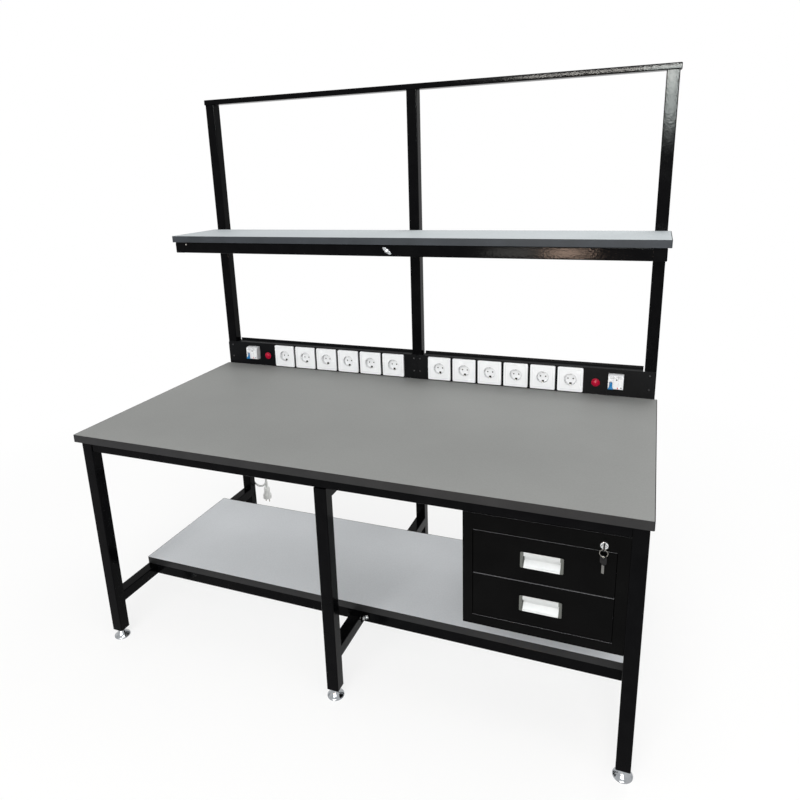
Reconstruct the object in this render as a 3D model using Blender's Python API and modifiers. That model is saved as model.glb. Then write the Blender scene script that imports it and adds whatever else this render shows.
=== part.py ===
"""An anti-static workbench: a welded steel tube frame with a laminate worktop, a lower shelf, an upper shelf,
two socket trunks and a hanging two-drawer cabinet.

Metres, +Z up. The origin is on the floor under the middle of the bench, +X runs to the right and +Y to the back.
"""

import math

import bmesh
import bpy
from mathutils import Matrix, Vector

# Gap left between pieces that touch.
GAP = 0.0003

# Worktop: a laminated board with a glued edge band.
TOP_WIDTH = 1.800
TOP_DEPTH = 0.886
TOP_HEIGHT = 0.804
TOP_THICK = 0.025
BAND_THICK = 0.002
BOARD_CORNER = 0.004

# Frame: square steel tube.
TUBE = 0.040
TUBE_WALL = 0.002
TUBE_CORNER = 0.003
FRAME_INSET = 0.009
LEG_SETBACK = 0.0215
LEG_BOTTOM = 0.034
END_PLATE = 0.006
APRON_SETBACK = 0.004

# Levelling feet.
FOOT_RADIUS = 0.0272
FOOT_RIM = 0.004
FOOT_NECK = 0.0095
FOOT_TOP = 0.030
STEM_RADIUS = 0.005
STEM_LENGTH = 0.040
STEM_CLEARANCE = 0.0006

# Lower shelf.
SHELF_HEIGHT = 0.204
SHELF_THICK = 0.025
SHELF_SETBACK = 0.2345
SHELF_DEPTH = 0.497
RAIL_SETBACK = 0.002

# Upper shelf and its beam.
UPPER_WIDTH = 1.8046
UPPER_HEIGHT = 1.3946
UPPER_THICK = 0.024
UPPER_DEPTH = 0.2815
BEAM_SETBACK = 0.005

# Top rail across the posts.
TOTAL_HEIGHT = 1.913
TOP_RAIL_HEIGHT = 0.020
TOP_RAIL_OVERHANG = 0.003

# Socket trunks: folded sheet.
SHEET = 0.0015
TRUNK_HEIGHT = 0.0997
TRUNK_DEPTH = 0.0385
TRUNK_CORNER = 0.008
TRUNK_UPSTAND = 0.009
POST_CLEARANCE = 0.004

# Socket outlets.
OUTLETS_PER_TRUNK = 6
PLATE = 0.0916
PLATE_THICK = 0.008
PLATE_CORNER = 0.005
PLATE_SOFTNESS = 0.0015
PLATE_LIFT = 0.0047
OUTLET_BODY = 0.029
OUTLET_BODY_DEPTH = 0.022
BODY_CLEARANCE = 0.0006
WELL_RADIUS = 0.0215
WELL_DEPTH = 0.0155
PIN_RADIUS = 0.0026
PIN_SPACING = 0.019
PIN_DEPTH = 0.008
CLIP_WIDTH = 0.006
CLIP_HEIGHT = 0.003
CLIP_DEPTH = 0.009

# Circuit breakers.
BREAKER_WIDTH = 0.052
BREAKER_NOSE = 0.054
BREAKER_LIFT = 0.0565
BREAKER_PROUD = 0.025
BREAKER_SLOPE = 0.004
BREAKER_BODY = 0.080
BREAKER_BODY_DEPTH = 0.028
TOGGLE_OFFSET = 0.0165
TOGGLE_DROP = 0.008
TOGGLE_WIDTH = 0.0095
TOGGLE_HUB = 0.006
TOGGLE_SINK = 0.004
TOGGLE_REACH = 0.0165
TOGGLE_ANGLE = math.radians(38.0)
TOGGLE_CLEARANCE = 0.0008

# Pilot lamps.
LAMP_LIFT = 0.0465
LAMP_RADIUS = 0.012
LAMP_BEZEL = 0.0145
LAMP_BEZEL_THICK = 0.004
LAMP_PROUD = 0.013
LAMP_BODY = 0.0108
LAMP_BODY_DEPTH = 0.020

# How the free room along each trunk is shared out, from the bench's end to its middle.
END_SHARE = 0.4109
LAMP_SHARE = 0.1133
LEFT_OUTLET_SHARE = 0.0910
RIGHT_OUTLET_SHARE = 0.1133
OUTLET_GAP_SHARE = 0.03495

# Drawer cabinet: folded sheet, hung under the worktop.
CABINET_WIDTH = 0.4253
CABINET_DEPTH = 0.500
CABINET_BOTTOM = 0.3962
CABINET_WALL = 0.0015
FASCIA_HEIGHT = 0.0487
STILE = 0.0273
RIGHT_STILE = 0.0298
SILL = 0.0309
FRONT_FRAME = 0.018
HANGER = 0.030
HANGER_SETBACK = 0.010

# Drawers: a tray with a pan front on side runners.
REVEAL = 0.0012
DRAWER_RECESS = 0.0015
PAN_DEPTH = 0.022
TRAY_LENGTH = 0.430
TRAY_HEIGHT = 0.085
TRAY_LIFT = 0.012
TRAY_CLEARANCE = 0.001
RAIL_SHORT = 0.002
RUNNER_HEIGHT = 0.030
RUNNER_DEPTH = 0.011
RUNNER_LENGTH = 0.400
RUNNER_LIFT = 0.030
RUNNER_CLEARANCE = 0.0005

# Recessed pulls.
PULL_WIDTH = 0.1115
PULL_HEIGHT = 0.046
PULL_FLANGE = 0.0022
PULL_BORDER = 0.0065
PULL_BASE = 0.0025
PULL_DEPTH = 0.017
PULL_WALL = 0.0015
PULL_LIP = 0.0115
PULL_SLOPE = 0.35
PULL_LIP_THICK = 0.0030
PULL_CLEARANCE = 0.0005

# Cam lock and keys.
LOCK_INSET = 0.0622
LOCK_DROP = 0.0304
LOCK_RADIUS = 0.0112
LOCK_PROUD = 0.006
LOCK_BODY = 0.008
LOCK_BODY_DEPTH = 0.018
PLUG_RADIUS = 0.0058
PLUG_CLEARANCE = 0.0004
CAM_LENGTH = 0.015
CAM_WIDTH = 0.009
CAM_THICK = 0.002
KEY_BLADE = 0.007
KEY_THICK = 0.002
BOW_HEIGHT = 0.018
BOW_LENGTH = 0.016
BOW_THICK = 0.004
SLOT_LENGTH = 0.007
SLOT_HEIGHT = 0.005
RING_RADIUS = 0.010
RING_WIRE = 0.0006
RING_PLAY = 0.0009
RING_POINTS = 24
SPARE_BOW = 0.024
SPARE_BLADE = 0.026
SPARE_BORDER = 0.0022
SPARE_SLOT = 0.010
SPARE_TURN = math.radians(-28.0)

# Wing bolt on the shelf beam.
BOLT_RADIUS = 0.003
BOLT_LENGTH = 0.010
BOLT_DROP = 0.020
BOLT_CLEARANCE = 0.0004
WING_HUB = 0.006
WING_HUB_LENGTH = 0.009
WING_SPAN = 0.030
WING_HEIGHT = 0.010
WING_THICK = 0.0025
WING_TILT = math.radians(-38.0)

# Mains lead: gland, drop, hank, tie and plug.
CORD_RADIUS = 0.004
GLAND_INSET = 0.065
GLAND_RADIUS = 0.011
GLAND_LENGTH = 0.024
GLAND_HEIGHT = 0.050
DROP_STRAIGHT = 0.010
DROP_BEND = 0.034
DROP_STEPS = 9
HANK_INSET = 0.056
HANK_HEIGHT = 0.2925
HANK_LOOPS = 4
HANK_WAIST = 0.012
HANK_RUN = 0.055
HANK_FOLD = 0.026
SLACK_RUN = 0.0855
SLACK_FOLD = 0.036
HANK_PITCH = 0.0096
HANK_BACK = 0.0135
LOOP_POINTS = 24
RUN_SHARE = 0.58
TIE_HEIGHT = 0.010
TIE_THICK = 0.0015
TIE_CLEARANCE = 0.0011
PLUG_INSET = 0.067
PLUG_TOP = 0.180
PLUG_BODY = 0.020
PLUG_LENGTH = 0.108
PLUG_PIN = 0.0024
PLUG_PIN_LENGTH = 0.019

# Places that follow from the sizes above.
total_depth = TOP_DEPTH + SHEET + GAP + TUBE
front = -total_depth / 2
top_rear = front + TOP_DEPTH
panel_rear = top_rear + SHEET
post_front = panel_rear + GAP
post_rear = post_front + TUBE
underside = TOP_HEIGHT - TOP_THICK
frame_left = -TOP_WIDTH / 2 + FRAME_INSET
frame_right = TOP_WIDTH / 2 - FRAME_INSET
leg_front = front + LEG_SETBACK
leg_rear = leg_front + TUBE
tube_top = underside - GAP
tube_bottom = tube_top - TUBE
apron_front = leg_front + APRON_SETBACK
shelf_bottom = SHELF_HEIGHT - SHELF_THICK
tie_top = shelf_bottom - GAP
tie_bottom = tie_top - TUBE
shelf_front = front + SHELF_SETBACK
shelf_rear = shelf_front + SHELF_DEPTH
upper_bottom = UPPER_HEIGHT - UPPER_THICK
upper_front = top_rear - UPPER_DEPTH
beam_front = upper_front + BEAM_SETBACK
beam_top = upper_bottom - GAP
beam_bottom = beam_top - TUBE
post_top = TOTAL_HEIGHT - TOP_RAIL_HEIGHT - GAP

for old in list(bpy.data.objects):
    bpy.data.objects.remove(old, do_unlink=True)

parts = bpy.data.collections.new("anti_static_workbench")
cutters = bpy.data.collections.new("cutters")
bpy.context.scene.collection.children.link(parts)
bpy.context.scene.collection.children.link(cutters)


def material(name, colour, roughness, metallic):
    made = bpy.data.materials.new(name)
    made.use_nodes = True
    shader = made.node_tree.nodes["Principled BSDF"]
    shader.inputs["Base Color"].default_value = (*colour, 1.0)
    shader.inputs["Roughness"].default_value = roughness
    shader.inputs["Metallic"].default_value = metallic
    return made


laminate = material("grey_laminate", (0.30, 0.31, 0.31), 0.35, 0.0)
pale_laminate = material("pale_laminate", (0.46, 0.48, 0.49), 0.40, 0.0)
band_black = material("edge_band", (0.03, 0.03, 0.03), 0.50, 0.0)
band_grey = material("grey_edge_band", (0.07, 0.07, 0.07), 0.50, 0.0)
frame_black = material("black_powder_coat", (0.010, 0.010, 0.010), 0.35, 0.0)
trunk_black = material("trunk_coat", (0.012, 0.012, 0.013), 0.45, 0.0)
white_plastic = material("white_plastic", (0.85, 0.86, 0.87), 0.30, 0.0)
blue_plastic = material("blue_plastic", (0.02, 0.21, 0.52), 0.35, 0.0)
red_lens = material("red_lens", (0.68, 0.01, 0.03), 0.15, 0.0)
black_plastic = material("black_plastic", (0.012, 0.012, 0.012), 0.45, 0.0)
grey_plastic = material("grey_plastic", (0.62, 0.63, 0.63), 0.45, 0.0)
pale_cable = material("pale_cable", (0.70, 0.70, 0.69), 0.50, 0.0)
chrome = material("chrome", (0.80, 0.80, 0.80), 0.12, 1.0)
nickel = material("nickel", (0.62, 0.61, 0.58), 0.30, 1.0)
silver = material("silver_pull", (0.72, 0.72, 0.72), 0.30, 1.0)


def placed(name, mesh, look=None):
    """Puts a mesh in the scene as a part or, with no material, as a tool."""
    item = bpy.data.objects.new(name, mesh)
    if look is None:
        cutters.objects.link(item)
        item.hide_render = True
        item.display_type = "WIRE"
    else:
        parts.objects.link(item)
        item.data.materials.append(look)
    return item


def mesh_of(name, shape):
    bmesh.ops.recalc_face_normals(shape, faces=shape.faces)
    mesh = bpy.data.meshes.new(name)
    shape.to_mesh(mesh)
    shape.free()
    return mesh


def block(name, low, high, look=None, axis=None, radius=0.0, segments=3):
    """A box between two corners, with the four edges along one axis rounded."""
    shape = bmesh.new()
    size = [b - a for a, b in zip(low, high)]
    middle = [(a + b) / 2 for a, b in zip(low, high)]
    bmesh.ops.create_cube(shape, size=1.0, matrix=Matrix.Translation(middle) @ Matrix.Diagonal((*size, 1.0)))
    if axis is not None:
        along = [edge for edge in shape.edges if abs((edge.verts[0].co - edge.verts[1].co)[axis]) > size[axis] / 2]
        bmesh.ops.bevel(shape, geom=along, offset=radius, segments=segments, profile=0.5, affect="EDGES")
    return placed(name, mesh_of(name, shape), look)


def rod(name, start, end, radius, look=None, sides=24, end_radius=None):
    """A cylinder or cone between two points."""
    shape = bmesh.new()
    way = Vector(end) - Vector(start)
    turn = way.to_track_quat("Z", "Y").to_matrix().to_4x4()
    place = Matrix.Translation((Vector(start) + Vector(end)) / 2) @ turn
    last = radius if end_radius is None else end_radius
    bmesh.ops.create_cone(shape, cap_ends=True, segments=sides, radius1=radius, radius2=last,
                          depth=way.length, matrix=place)
    return placed(name, mesh_of(name, shape), look)


def slab(name, outline, low, high, look=None, axis=0):
    """A flat outline given in the two other axes, in their order, thickened along one axis."""
    curve = bpy.data.curves.new(name, "CURVE")
    curve.dimensions = "2D"
    curve.fill_mode = "BOTH"
    curve.extrude = (high - low) / 2
    line = curve.splines.new("POLY")
    line.points.add(len(outline) - 1)
    for point, (a, b) in zip(line.points, outline):
        point.co = (a, b, 0.0, 1.0)
    line.use_cyclic_u = True
    guide = bpy.data.objects.new(name + "_outline", curve)
    cutters.objects.link(guide)
    bpy.context.view_layer.update()
    mesh = bpy.data.meshes.new_from_object(guide.evaluated_get(bpy.context.evaluated_depsgraph_get()))
    bpy.data.objects.remove(guide, do_unlink=True)
    mesh.name = name
    first, second = [other for other in range(3) if other != axis]
    turn = Matrix(((0,) * 4, (0,) * 4, (0,) * 4, (0, 0, 0, 1)))
    turn[first][0] = 1.0
    turn[second][1] = 1.0
    turn[axis][2] = 1.0
    turn[axis][3] = (low + high) / 2
    mesh.transform(turn)
    shape = bmesh.new()
    shape.from_mesh(mesh)
    bmesh.ops.remove_doubles(shape, verts=shape.verts, dist=0.00001)
    bmesh.ops.recalc_face_normals(shape, faces=shape.faces)
    shape.to_mesh(mesh)
    shape.free()
    return placed(name, mesh, look)


def turned(name, profile, look, steps=24):
    """A profile of (radius, height) pairs, from the top down its outer side, turned about Z."""
    mesh = bpy.data.meshes.new(name)
    points = [(radius, 0.0, height) for radius, height in profile]
    mesh.from_pydata(points, [(i, i + 1) for i in range(len(points) - 1)], [])
    item = placed(name, mesh, look)
    screw = item.modifiers.new("turn", "SCREW")
    screw.axis = "Z"
    screw.steps = steps
    screw.render_steps = steps
    screw.use_merge_vertices = True
    screw.merge_threshold = 0.00001
    return item


def combine(target, operation, *tools):
    """Adds each tool to the target, or cuts it away."""
    for tool in tools:
        change = target.modifiers.new(tool.name, "BOOLEAN")
        change.operation = operation
        change.solver = "EXACT"
        change.object = tool


def pivot(item, point):
    """Moves a piece's origin to a point on its joint's axis."""
    item.data.transform(Matrix.Translation(-Vector(point)))
    item.location = point


def baked(item):
    """Replaces a piece's mesh by the one that its modifiers make."""
    bpy.context.view_layer.update()
    mesh = bpy.data.meshes.new_from_object(item.evaluated_get(bpy.context.evaluated_depsgraph_get()))
    item.modifiers.clear()
    item.data = mesh
    return item


# Boards: each is a flat panel inside a closed ring of edge band.
def board(name, low, high, look, band_look):
    skin = BAND_THICK + GAP
    core_low = (low[0] + skin, low[1] + skin, low[2])
    core_high = (high[0] - skin, high[1] - skin, high[2])
    core_radius = max(BOARD_CORNER - skin, 0.0005)
    block(name + "_board", core_low, core_high, look, 2, core_radius)
    band = block(name + "_edge_band", low, high, band_look, 2, BOARD_CORNER)
    hole_low = (low[0] + BAND_THICK, low[1] + BAND_THICK, low[2] - 0.01)
    hole_high = (high[0] - BAND_THICK, high[1] - BAND_THICK, high[2] + 0.01)
    hole_radius = max(BOARD_CORNER - BAND_THICK, 0.0005)
    combine(band, "DIFFERENCE", block(name + "_band_hole", hole_low, hole_high, None, 2, hole_radius))


board("worktop", (-TOP_WIDTH / 2, front, underside), (TOP_WIDTH / 2, top_rear, TOP_HEIGHT), laminate, band_black)
board("lower_shelf", (frame_left, shelf_front, shelf_bottom), (frame_right, shelf_rear, SHELF_HEIGHT),
      pale_laminate, band_black)
board("upper_shelf", (-UPPER_WIDTH / 2, upper_front, upper_bottom), (UPPER_WIDTH / 2, top_rear, UPPER_HEIGHT),
      pale_laminate, band_grey)


# Frames: front leg, full-height rear post, two ties and the upper shelf's arm, welded and hollow.
def frame(name, left, leg_top, top_tie_top, arm_front):
    right = left + TUBE
    middle = left + TUBE / 2
    leg_middle = leg_front + TUBE / 2
    post_middle = post_front + TUBE / 2
    leg = block(name, (left, leg_front, LEG_BOTTOM), (right, leg_rear, leg_top), frame_black, 2, TUBE_CORNER)
    post = block(name + "_post", (left, post_front, LEG_BOTTOM), (right, post_rear, post_top), None, 2, TUBE_CORNER)
    low_tie = block(name + "_low_tie", (left, leg_middle, tie_bottom), (right, post_middle, tie_top),
                    None, 1, TUBE_CORNER)
    top_tie = block(name + "_top_tie", (left, leg_middle, top_tie_top - TUBE), (right, post_middle, top_tie_top),
                    None, 1, TUBE_CORNER)
    arm = block(name + "_arm", (left, arm_front, beam_bottom), (right, post_middle, beam_top), None, 1, TUBE_CORNER)
    combine(leg, "UNION", low_tie, post, top_tie, arm)
    inner_left = left + TUBE_WALL
    inner_right = right - TUBE_WALL
    bore_bottom = LEG_BOTTOM + END_PLATE
    leg_bore = block(name + "_leg_bore", (inner_left, leg_front + TUBE_WALL, bore_bottom),
                     (inner_right, leg_rear - TUBE_WALL, leg_top - TUBE_WALL))
    post_bore = block(name + "_post_bore", (inner_left, post_front + TUBE_WALL, bore_bottom),
                      (inner_right, post_rear - TUBE_WALL, post_top - TUBE_WALL))
    low_bore = block(name + "_low_bore", (inner_left, leg_middle, tie_bottom + TUBE_WALL),
                     (inner_right, post_middle, tie_top - TUBE_WALL))
    top_bore = block(name + "_top_bore", (inner_left, leg_middle, top_tie_top - TUBE + TUBE_WALL),
                     (inner_right, post_middle, top_tie_top - TUBE_WALL))
    arm_bore = block(name + "_arm_bore", (inner_left, arm_front + TUBE_WALL, beam_bottom + TUBE_WALL),
                     (inner_right, post_middle, beam_top - TUBE_WALL))
    hole_radius = STEM_RADIUS + STEM_CLEARANCE
    below = LEG_BOTTOM - 0.01
    above = bore_bottom + 0.01
    leg_hole = rod(name + "_leg_hole", (middle, leg_middle, below), (middle, leg_middle, above), hole_radius)
    post_hole = rod(name + "_post_hole", (middle, post_middle, below), (middle, post_middle, above), hole_radius)
    combine(leg, "DIFFERENCE", leg_bore, post_bore, low_bore, top_bore, arm_bore, leg_hole, post_hole)


centre_left = -TUBE / 2
frame("left_end_frame", frame_left, tube_top, tube_top, beam_front)
frame("right_end_frame", frame_right - TUBE, tube_top, tube_top, beam_front)
frame("centre_frame", centre_left, tube_bottom - GAP, tube_bottom - GAP, beam_front + TUBE + GAP)


# Rails: open square tubes between the frames.
def rail(name, low, high):
    tube = block(name, low, high, frame_black, 0, TUBE_CORNER)
    bore_low = (low[0] - 0.01, low[1] + TUBE_WALL, low[2] + TUBE_WALL)
    bore_high = (high[0] + 0.01, high[1] - TUBE_WALL, high[2] - TUBE_WALL)
    combine(tube, "DIFFERENCE", block(name + "_bore", bore_low, bore_high))
    return tube


inner_left = frame_left + TUBE + GAP
inner_right = frame_right - TUBE - GAP
rear_apron_rear = top_rear - GAP
rail("front_apron", (inner_left, apron_front, tube_bottom), (inner_right, apron_front + TUBE, tube_top))
rail("rear_apron", (inner_left, rear_apron_rear - TUBE, tube_bottom), (inner_right, rear_apron_rear, tube_top))
rail_spans = (("left", inner_left, centre_left - GAP), ("right", -centre_left + GAP, inner_right))
for side, rail_left, rail_right in rail_spans:
    front_rail = shelf_front + RAIL_SETBACK
    rear_rail = shelf_rear - RAIL_SETBACK
    rail("front_shelf_rail_" + side, (rail_left, front_rail, tie_bottom), (rail_right, front_rail + TUBE, tie_top))
    rail("rear_shelf_rail_" + side, (rail_left, rear_rail - TUBE, tie_bottom), (rail_right, rear_rail, tie_top))

top_rail_low = (frame_left - TOP_RAIL_OVERHANG, post_front, TOTAL_HEIGHT - TOP_RAIL_HEIGHT)
top_rail_high = (frame_right + TOP_RAIL_OVERHANG, post_rear, TOTAL_HEIGHT)
rail("top_rail", top_rail_low, top_rail_high)

shelf_beam = rail("shelf_beam", (inner_left, beam_front, beam_bottom), (inner_right, beam_front + TUBE, beam_top))
bolt_height = beam_top - BOLT_DROP
bolt_hole = rod("bolt_hole", (0.0, beam_front - 0.01, bolt_height), (0.0, beam_front + TUBE / 2, bolt_height),
                BOLT_RADIUS + BOLT_CLEARANCE, None, 16)
combine(shelf_beam, "DIFFERENCE", bolt_hole)

# Wing bolt: a hub with two wings and a shank through the beam's front wall.
bolt_face = beam_front - GAP
wing_bolt = rod("wing_bolt", (0.0, bolt_face - WING_HUB_LENGTH, bolt_height), (0.0, bolt_face, bolt_height),
                WING_HUB, chrome, 16, WING_HUB * 1.15)
shank = rod("wing_shank", (0.0, bolt_face - WING_HUB_LENGTH / 2, bolt_height),
            (0.0, bolt_face + BOLT_LENGTH, bolt_height), BOLT_RADIUS, None, 12)
wing_half = WING_SPAN / 2
wing_outline = [(wing_half * math.cos(turn), WING_HEIGHT / 2 * math.sin(turn))
                for turn in [math.tau * step / 20 for step in range(20)]]
wing_rear = bolt_face - WING_HUB_LENGTH / 2
wings = slab("wings", wing_outline, wing_rear - WING_THICK, wing_rear, None, 1)
wings.data.transform(Matrix.Translation((0, 0, bolt_height)) @ Matrix.Rotation(-WING_TILT, 4, "Y"))
combine(wing_bolt, "UNION", shank, wings)
baked(wing_bolt)
pivot(wing_bolt, (0.0, bolt_face, bolt_height))


# Levelling feet: a turned bell with a threaded stem up into the leg.
def foot(name, x, y):
    profile = [
        (0.0, FOOT_TOP + STEM_LENGTH),
        (STEM_RADIUS, FOOT_TOP + STEM_LENGTH),
        (STEM_RADIUS, FOOT_TOP),
        (FOOT_NECK, FOOT_TOP),
        (FOOT_NECK, FOOT_TOP * 0.82),
        (FOOT_RADIUS * 0.50, FOOT_TOP * 0.56),
        (FOOT_RADIUS * 0.80, FOOT_TOP * 0.30),
        (FOOT_RADIUS, FOOT_RIM),
        (FOOT_RADIUS, 0.0),
        (0.0, 0.0),
    ]
    turned(name, profile, chrome, 20).location = (x, y, 0.0)


for side, x in (("left", frame_left + TUBE / 2), ("centre", 0.0), ("right", frame_right - TUBE / 2)):
    foot("foot_front_" + side, x, leg_front + TUBE / 2)
    foot("foot_rear_" + side, x, post_front + TUBE / 2)


# Socket trunks: a folded housing between two posts, with a front panel that reaches over both of them.
trunk_bottom = TOP_HEIGHT + GAP
trunk_top = TOP_HEIGHT + TRUNK_HEIGHT
trunk_rear = panel_rear + TRUNK_DEPTH
free_room = frame_right - OUTLETS_PER_TRUNK * PLATE - BREAKER_WIDTH - 2 * LAMP_BEZEL
breaker_x = frame_right - END_SHARE * free_room - BREAKER_WIDTH / 2
lamp_x = breaker_x - BREAKER_WIDTH / 2 - LAMP_SHARE * free_room - LAMP_BEZEL
outlet_pitch = PLATE + OUTLET_GAP_SHARE * free_room
outlets_length = (OUTLETS_PER_TRUNK - 1) * outlet_pitch + PLATE
left_outlets = -lamp_x + LAMP_BEZEL + LEFT_OUTLET_SHARE * free_room
right_outlets = lamp_x - LAMP_BEZEL - RIGHT_OUTLET_SHARE * free_room - outlets_length


def outlet_places(first):
    return [first + number * outlet_pitch for number in range(OUTLETS_PER_TRUNK)]


def trunk(name, left, right, box_left, box_right, first_outlet, sign):
    """One trunk; sign is the side of the bench that it is on."""
    panel = block(name, (left, top_rear, trunk_bottom), (right, panel_rear, trunk_top), trunk_black)
    fold = [
        (panel_rear - SHEET / 2, trunk_bottom),
        (trunk_rear, trunk_bottom),
        (trunk_rear, trunk_top + TRUNK_UPSTAND),
        (trunk_rear - SHEET, trunk_top + TRUNK_UPSTAND),
        (trunk_rear - SHEET, trunk_top),
        (panel_rear - SHEET / 2, trunk_top),
    ]
    housing = slab(name + "_housing", fold, box_left, box_right, None, 0)
    hollow = block(name + "_hollow", (box_left - 0.01, panel_rear, trunk_bottom + SHEET),
                   (box_right + 0.01, trunk_rear - SHEET, trunk_top - SHEET))
    combine(housing, "DIFFERENCE", hollow)
    baked(housing)
    combine(panel, "UNION", housing)
    for end, outward in ((left, -1), (right, 1)):
        turn_x = end - outward * TRUNK_CORNER
        turn_z = trunk_top - TRUNK_CORNER
        past = end + outward * 0.01
        square = block("%s_corner%d" % (name, outward), (min(turn_x, past), top_rear - 0.01, turn_z),
                       (max(turn_x, past), panel_rear + 0.01, trunk_top + 0.01))
        round_off = rod("%s_corner%d_round" % (name, outward), (turn_x, top_rear - 0.02, turn_z),
                        (turn_x, panel_rear + 0.02, turn_z), TRUNK_CORNER)
        combine(square, "DIFFERENCE", round_off)
        combine(panel, "DIFFERENCE", baked(square))
    outlet_height = TOP_HEIGHT + PLATE_LIFT + PLATE / 2
    for number, x in enumerate(outlet_places(first_outlet)):
        middle = x + PLATE / 2
        hole = rod(name + "_outlet_hole_%d" % number, (middle, top_rear - 0.01, outlet_height),
                   (middle, panel_rear + 0.01, outlet_height), OUTLET_BODY + BODY_CLEARANCE, None, 16)
        combine(panel, "DIFFERENCE", hole)
    nose_half = BREAKER_NOSE / 2 + BODY_CLEARANCE
    width_half = BREAKER_WIDTH / 2 + BODY_CLEARANCE
    breaker_height = TOP_HEIGHT + BREAKER_LIFT
    window = block(name + "_window", (sign * breaker_x - width_half, top_rear - 0.01, breaker_height - nose_half),
                   (sign * breaker_x + width_half, panel_rear + 0.01, breaker_height + nose_half))
    lamp_height = TOP_HEIGHT + LAMP_LIFT
    lamp_hole = rod(name + "_lamp_hole", (sign * lamp_x, top_rear - 0.01, lamp_height),
                    (sign * lamp_x, panel_rear + 0.01, lamp_height), LAMP_BODY + BODY_CLEARANCE, None, 16)
    combine(panel, "DIFFERENCE", window, lamp_hole)
    return panel


trunk_gap = GAP / 2
left_trunk = trunk("left_trunk", frame_left, -trunk_gap, frame_left + TUBE + POST_CLEARANCE,
                   centre_left - POST_CLEARANCE, left_outlets, -1)
trunk("right_trunk", trunk_gap, frame_right, -centre_left + POST_CLEARANCE,
      frame_right - TUBE - POST_CLEARANCE, right_outlets, 1)


# Socket outlets: a soft-edged plate with a round well, two pin holes and two earth clips.
def outlet(name, left):
    middle = left + PLATE / 2
    bottom = TOP_HEIGHT + PLATE_LIFT
    height = bottom + PLATE / 2
    rear = top_rear - GAP
    face = rear - PLATE_THICK
    plate = block(name, (left, face, bottom), (left + PLATE, rear, bottom + PLATE), white_plastic, 1,
                  PLATE_CORNER, 2)
    soften = plate.modifiers.new("soft_edge", "BEVEL")
    soften.width = PLATE_SOFTNESS
    soften.segments = 1
    soften.limit_method = "ANGLE"
    soften.angle_limit = math.radians(60.0)
    body = rod(name + "_body", (middle, rear - PLATE_THICK / 2, height), (middle, rear + OUTLET_BODY_DEPTH, height),
               OUTLET_BODY, None, 16)
    well = rod(name + "_well", (middle, face - 0.01, height), (middle, face + WELL_DEPTH, height), WELL_RADIUS)
    tools = [well]
    for side in (-1, 1):
        x = middle + side * PIN_SPACING / 2
        tools.append(rod(name + "_pin%d" % side, (x, face + WELL_DEPTH - 0.002, height),
                         (x, face + WELL_DEPTH + PIN_DEPTH, height), PIN_RADIUS, None, 8))
        edge = height + side * (WELL_RADIUS - 0.001)
        end = edge + side * CLIP_HEIGHT
        clip_low = (middle - CLIP_WIDTH / 2, face + WELL_DEPTH - CLIP_DEPTH, min(edge, end))
        clip_high = (middle + CLIP_WIDTH / 2, face + WELL_DEPTH - 0.001, max(edge, end))
        tools.append(block(name + "_clip%d" % side, clip_low, clip_high))
    combine(plate, "UNION", body)
    combine(plate, "DIFFERENCE", *tools)


for trunk_side, first in (("left", left_outlets), ("right", right_outlets)):
    for number, x in enumerate(outlet_places(first)):
        outlet("socket_%s_%d" % (trunk_side, number + 1), x)


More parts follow.
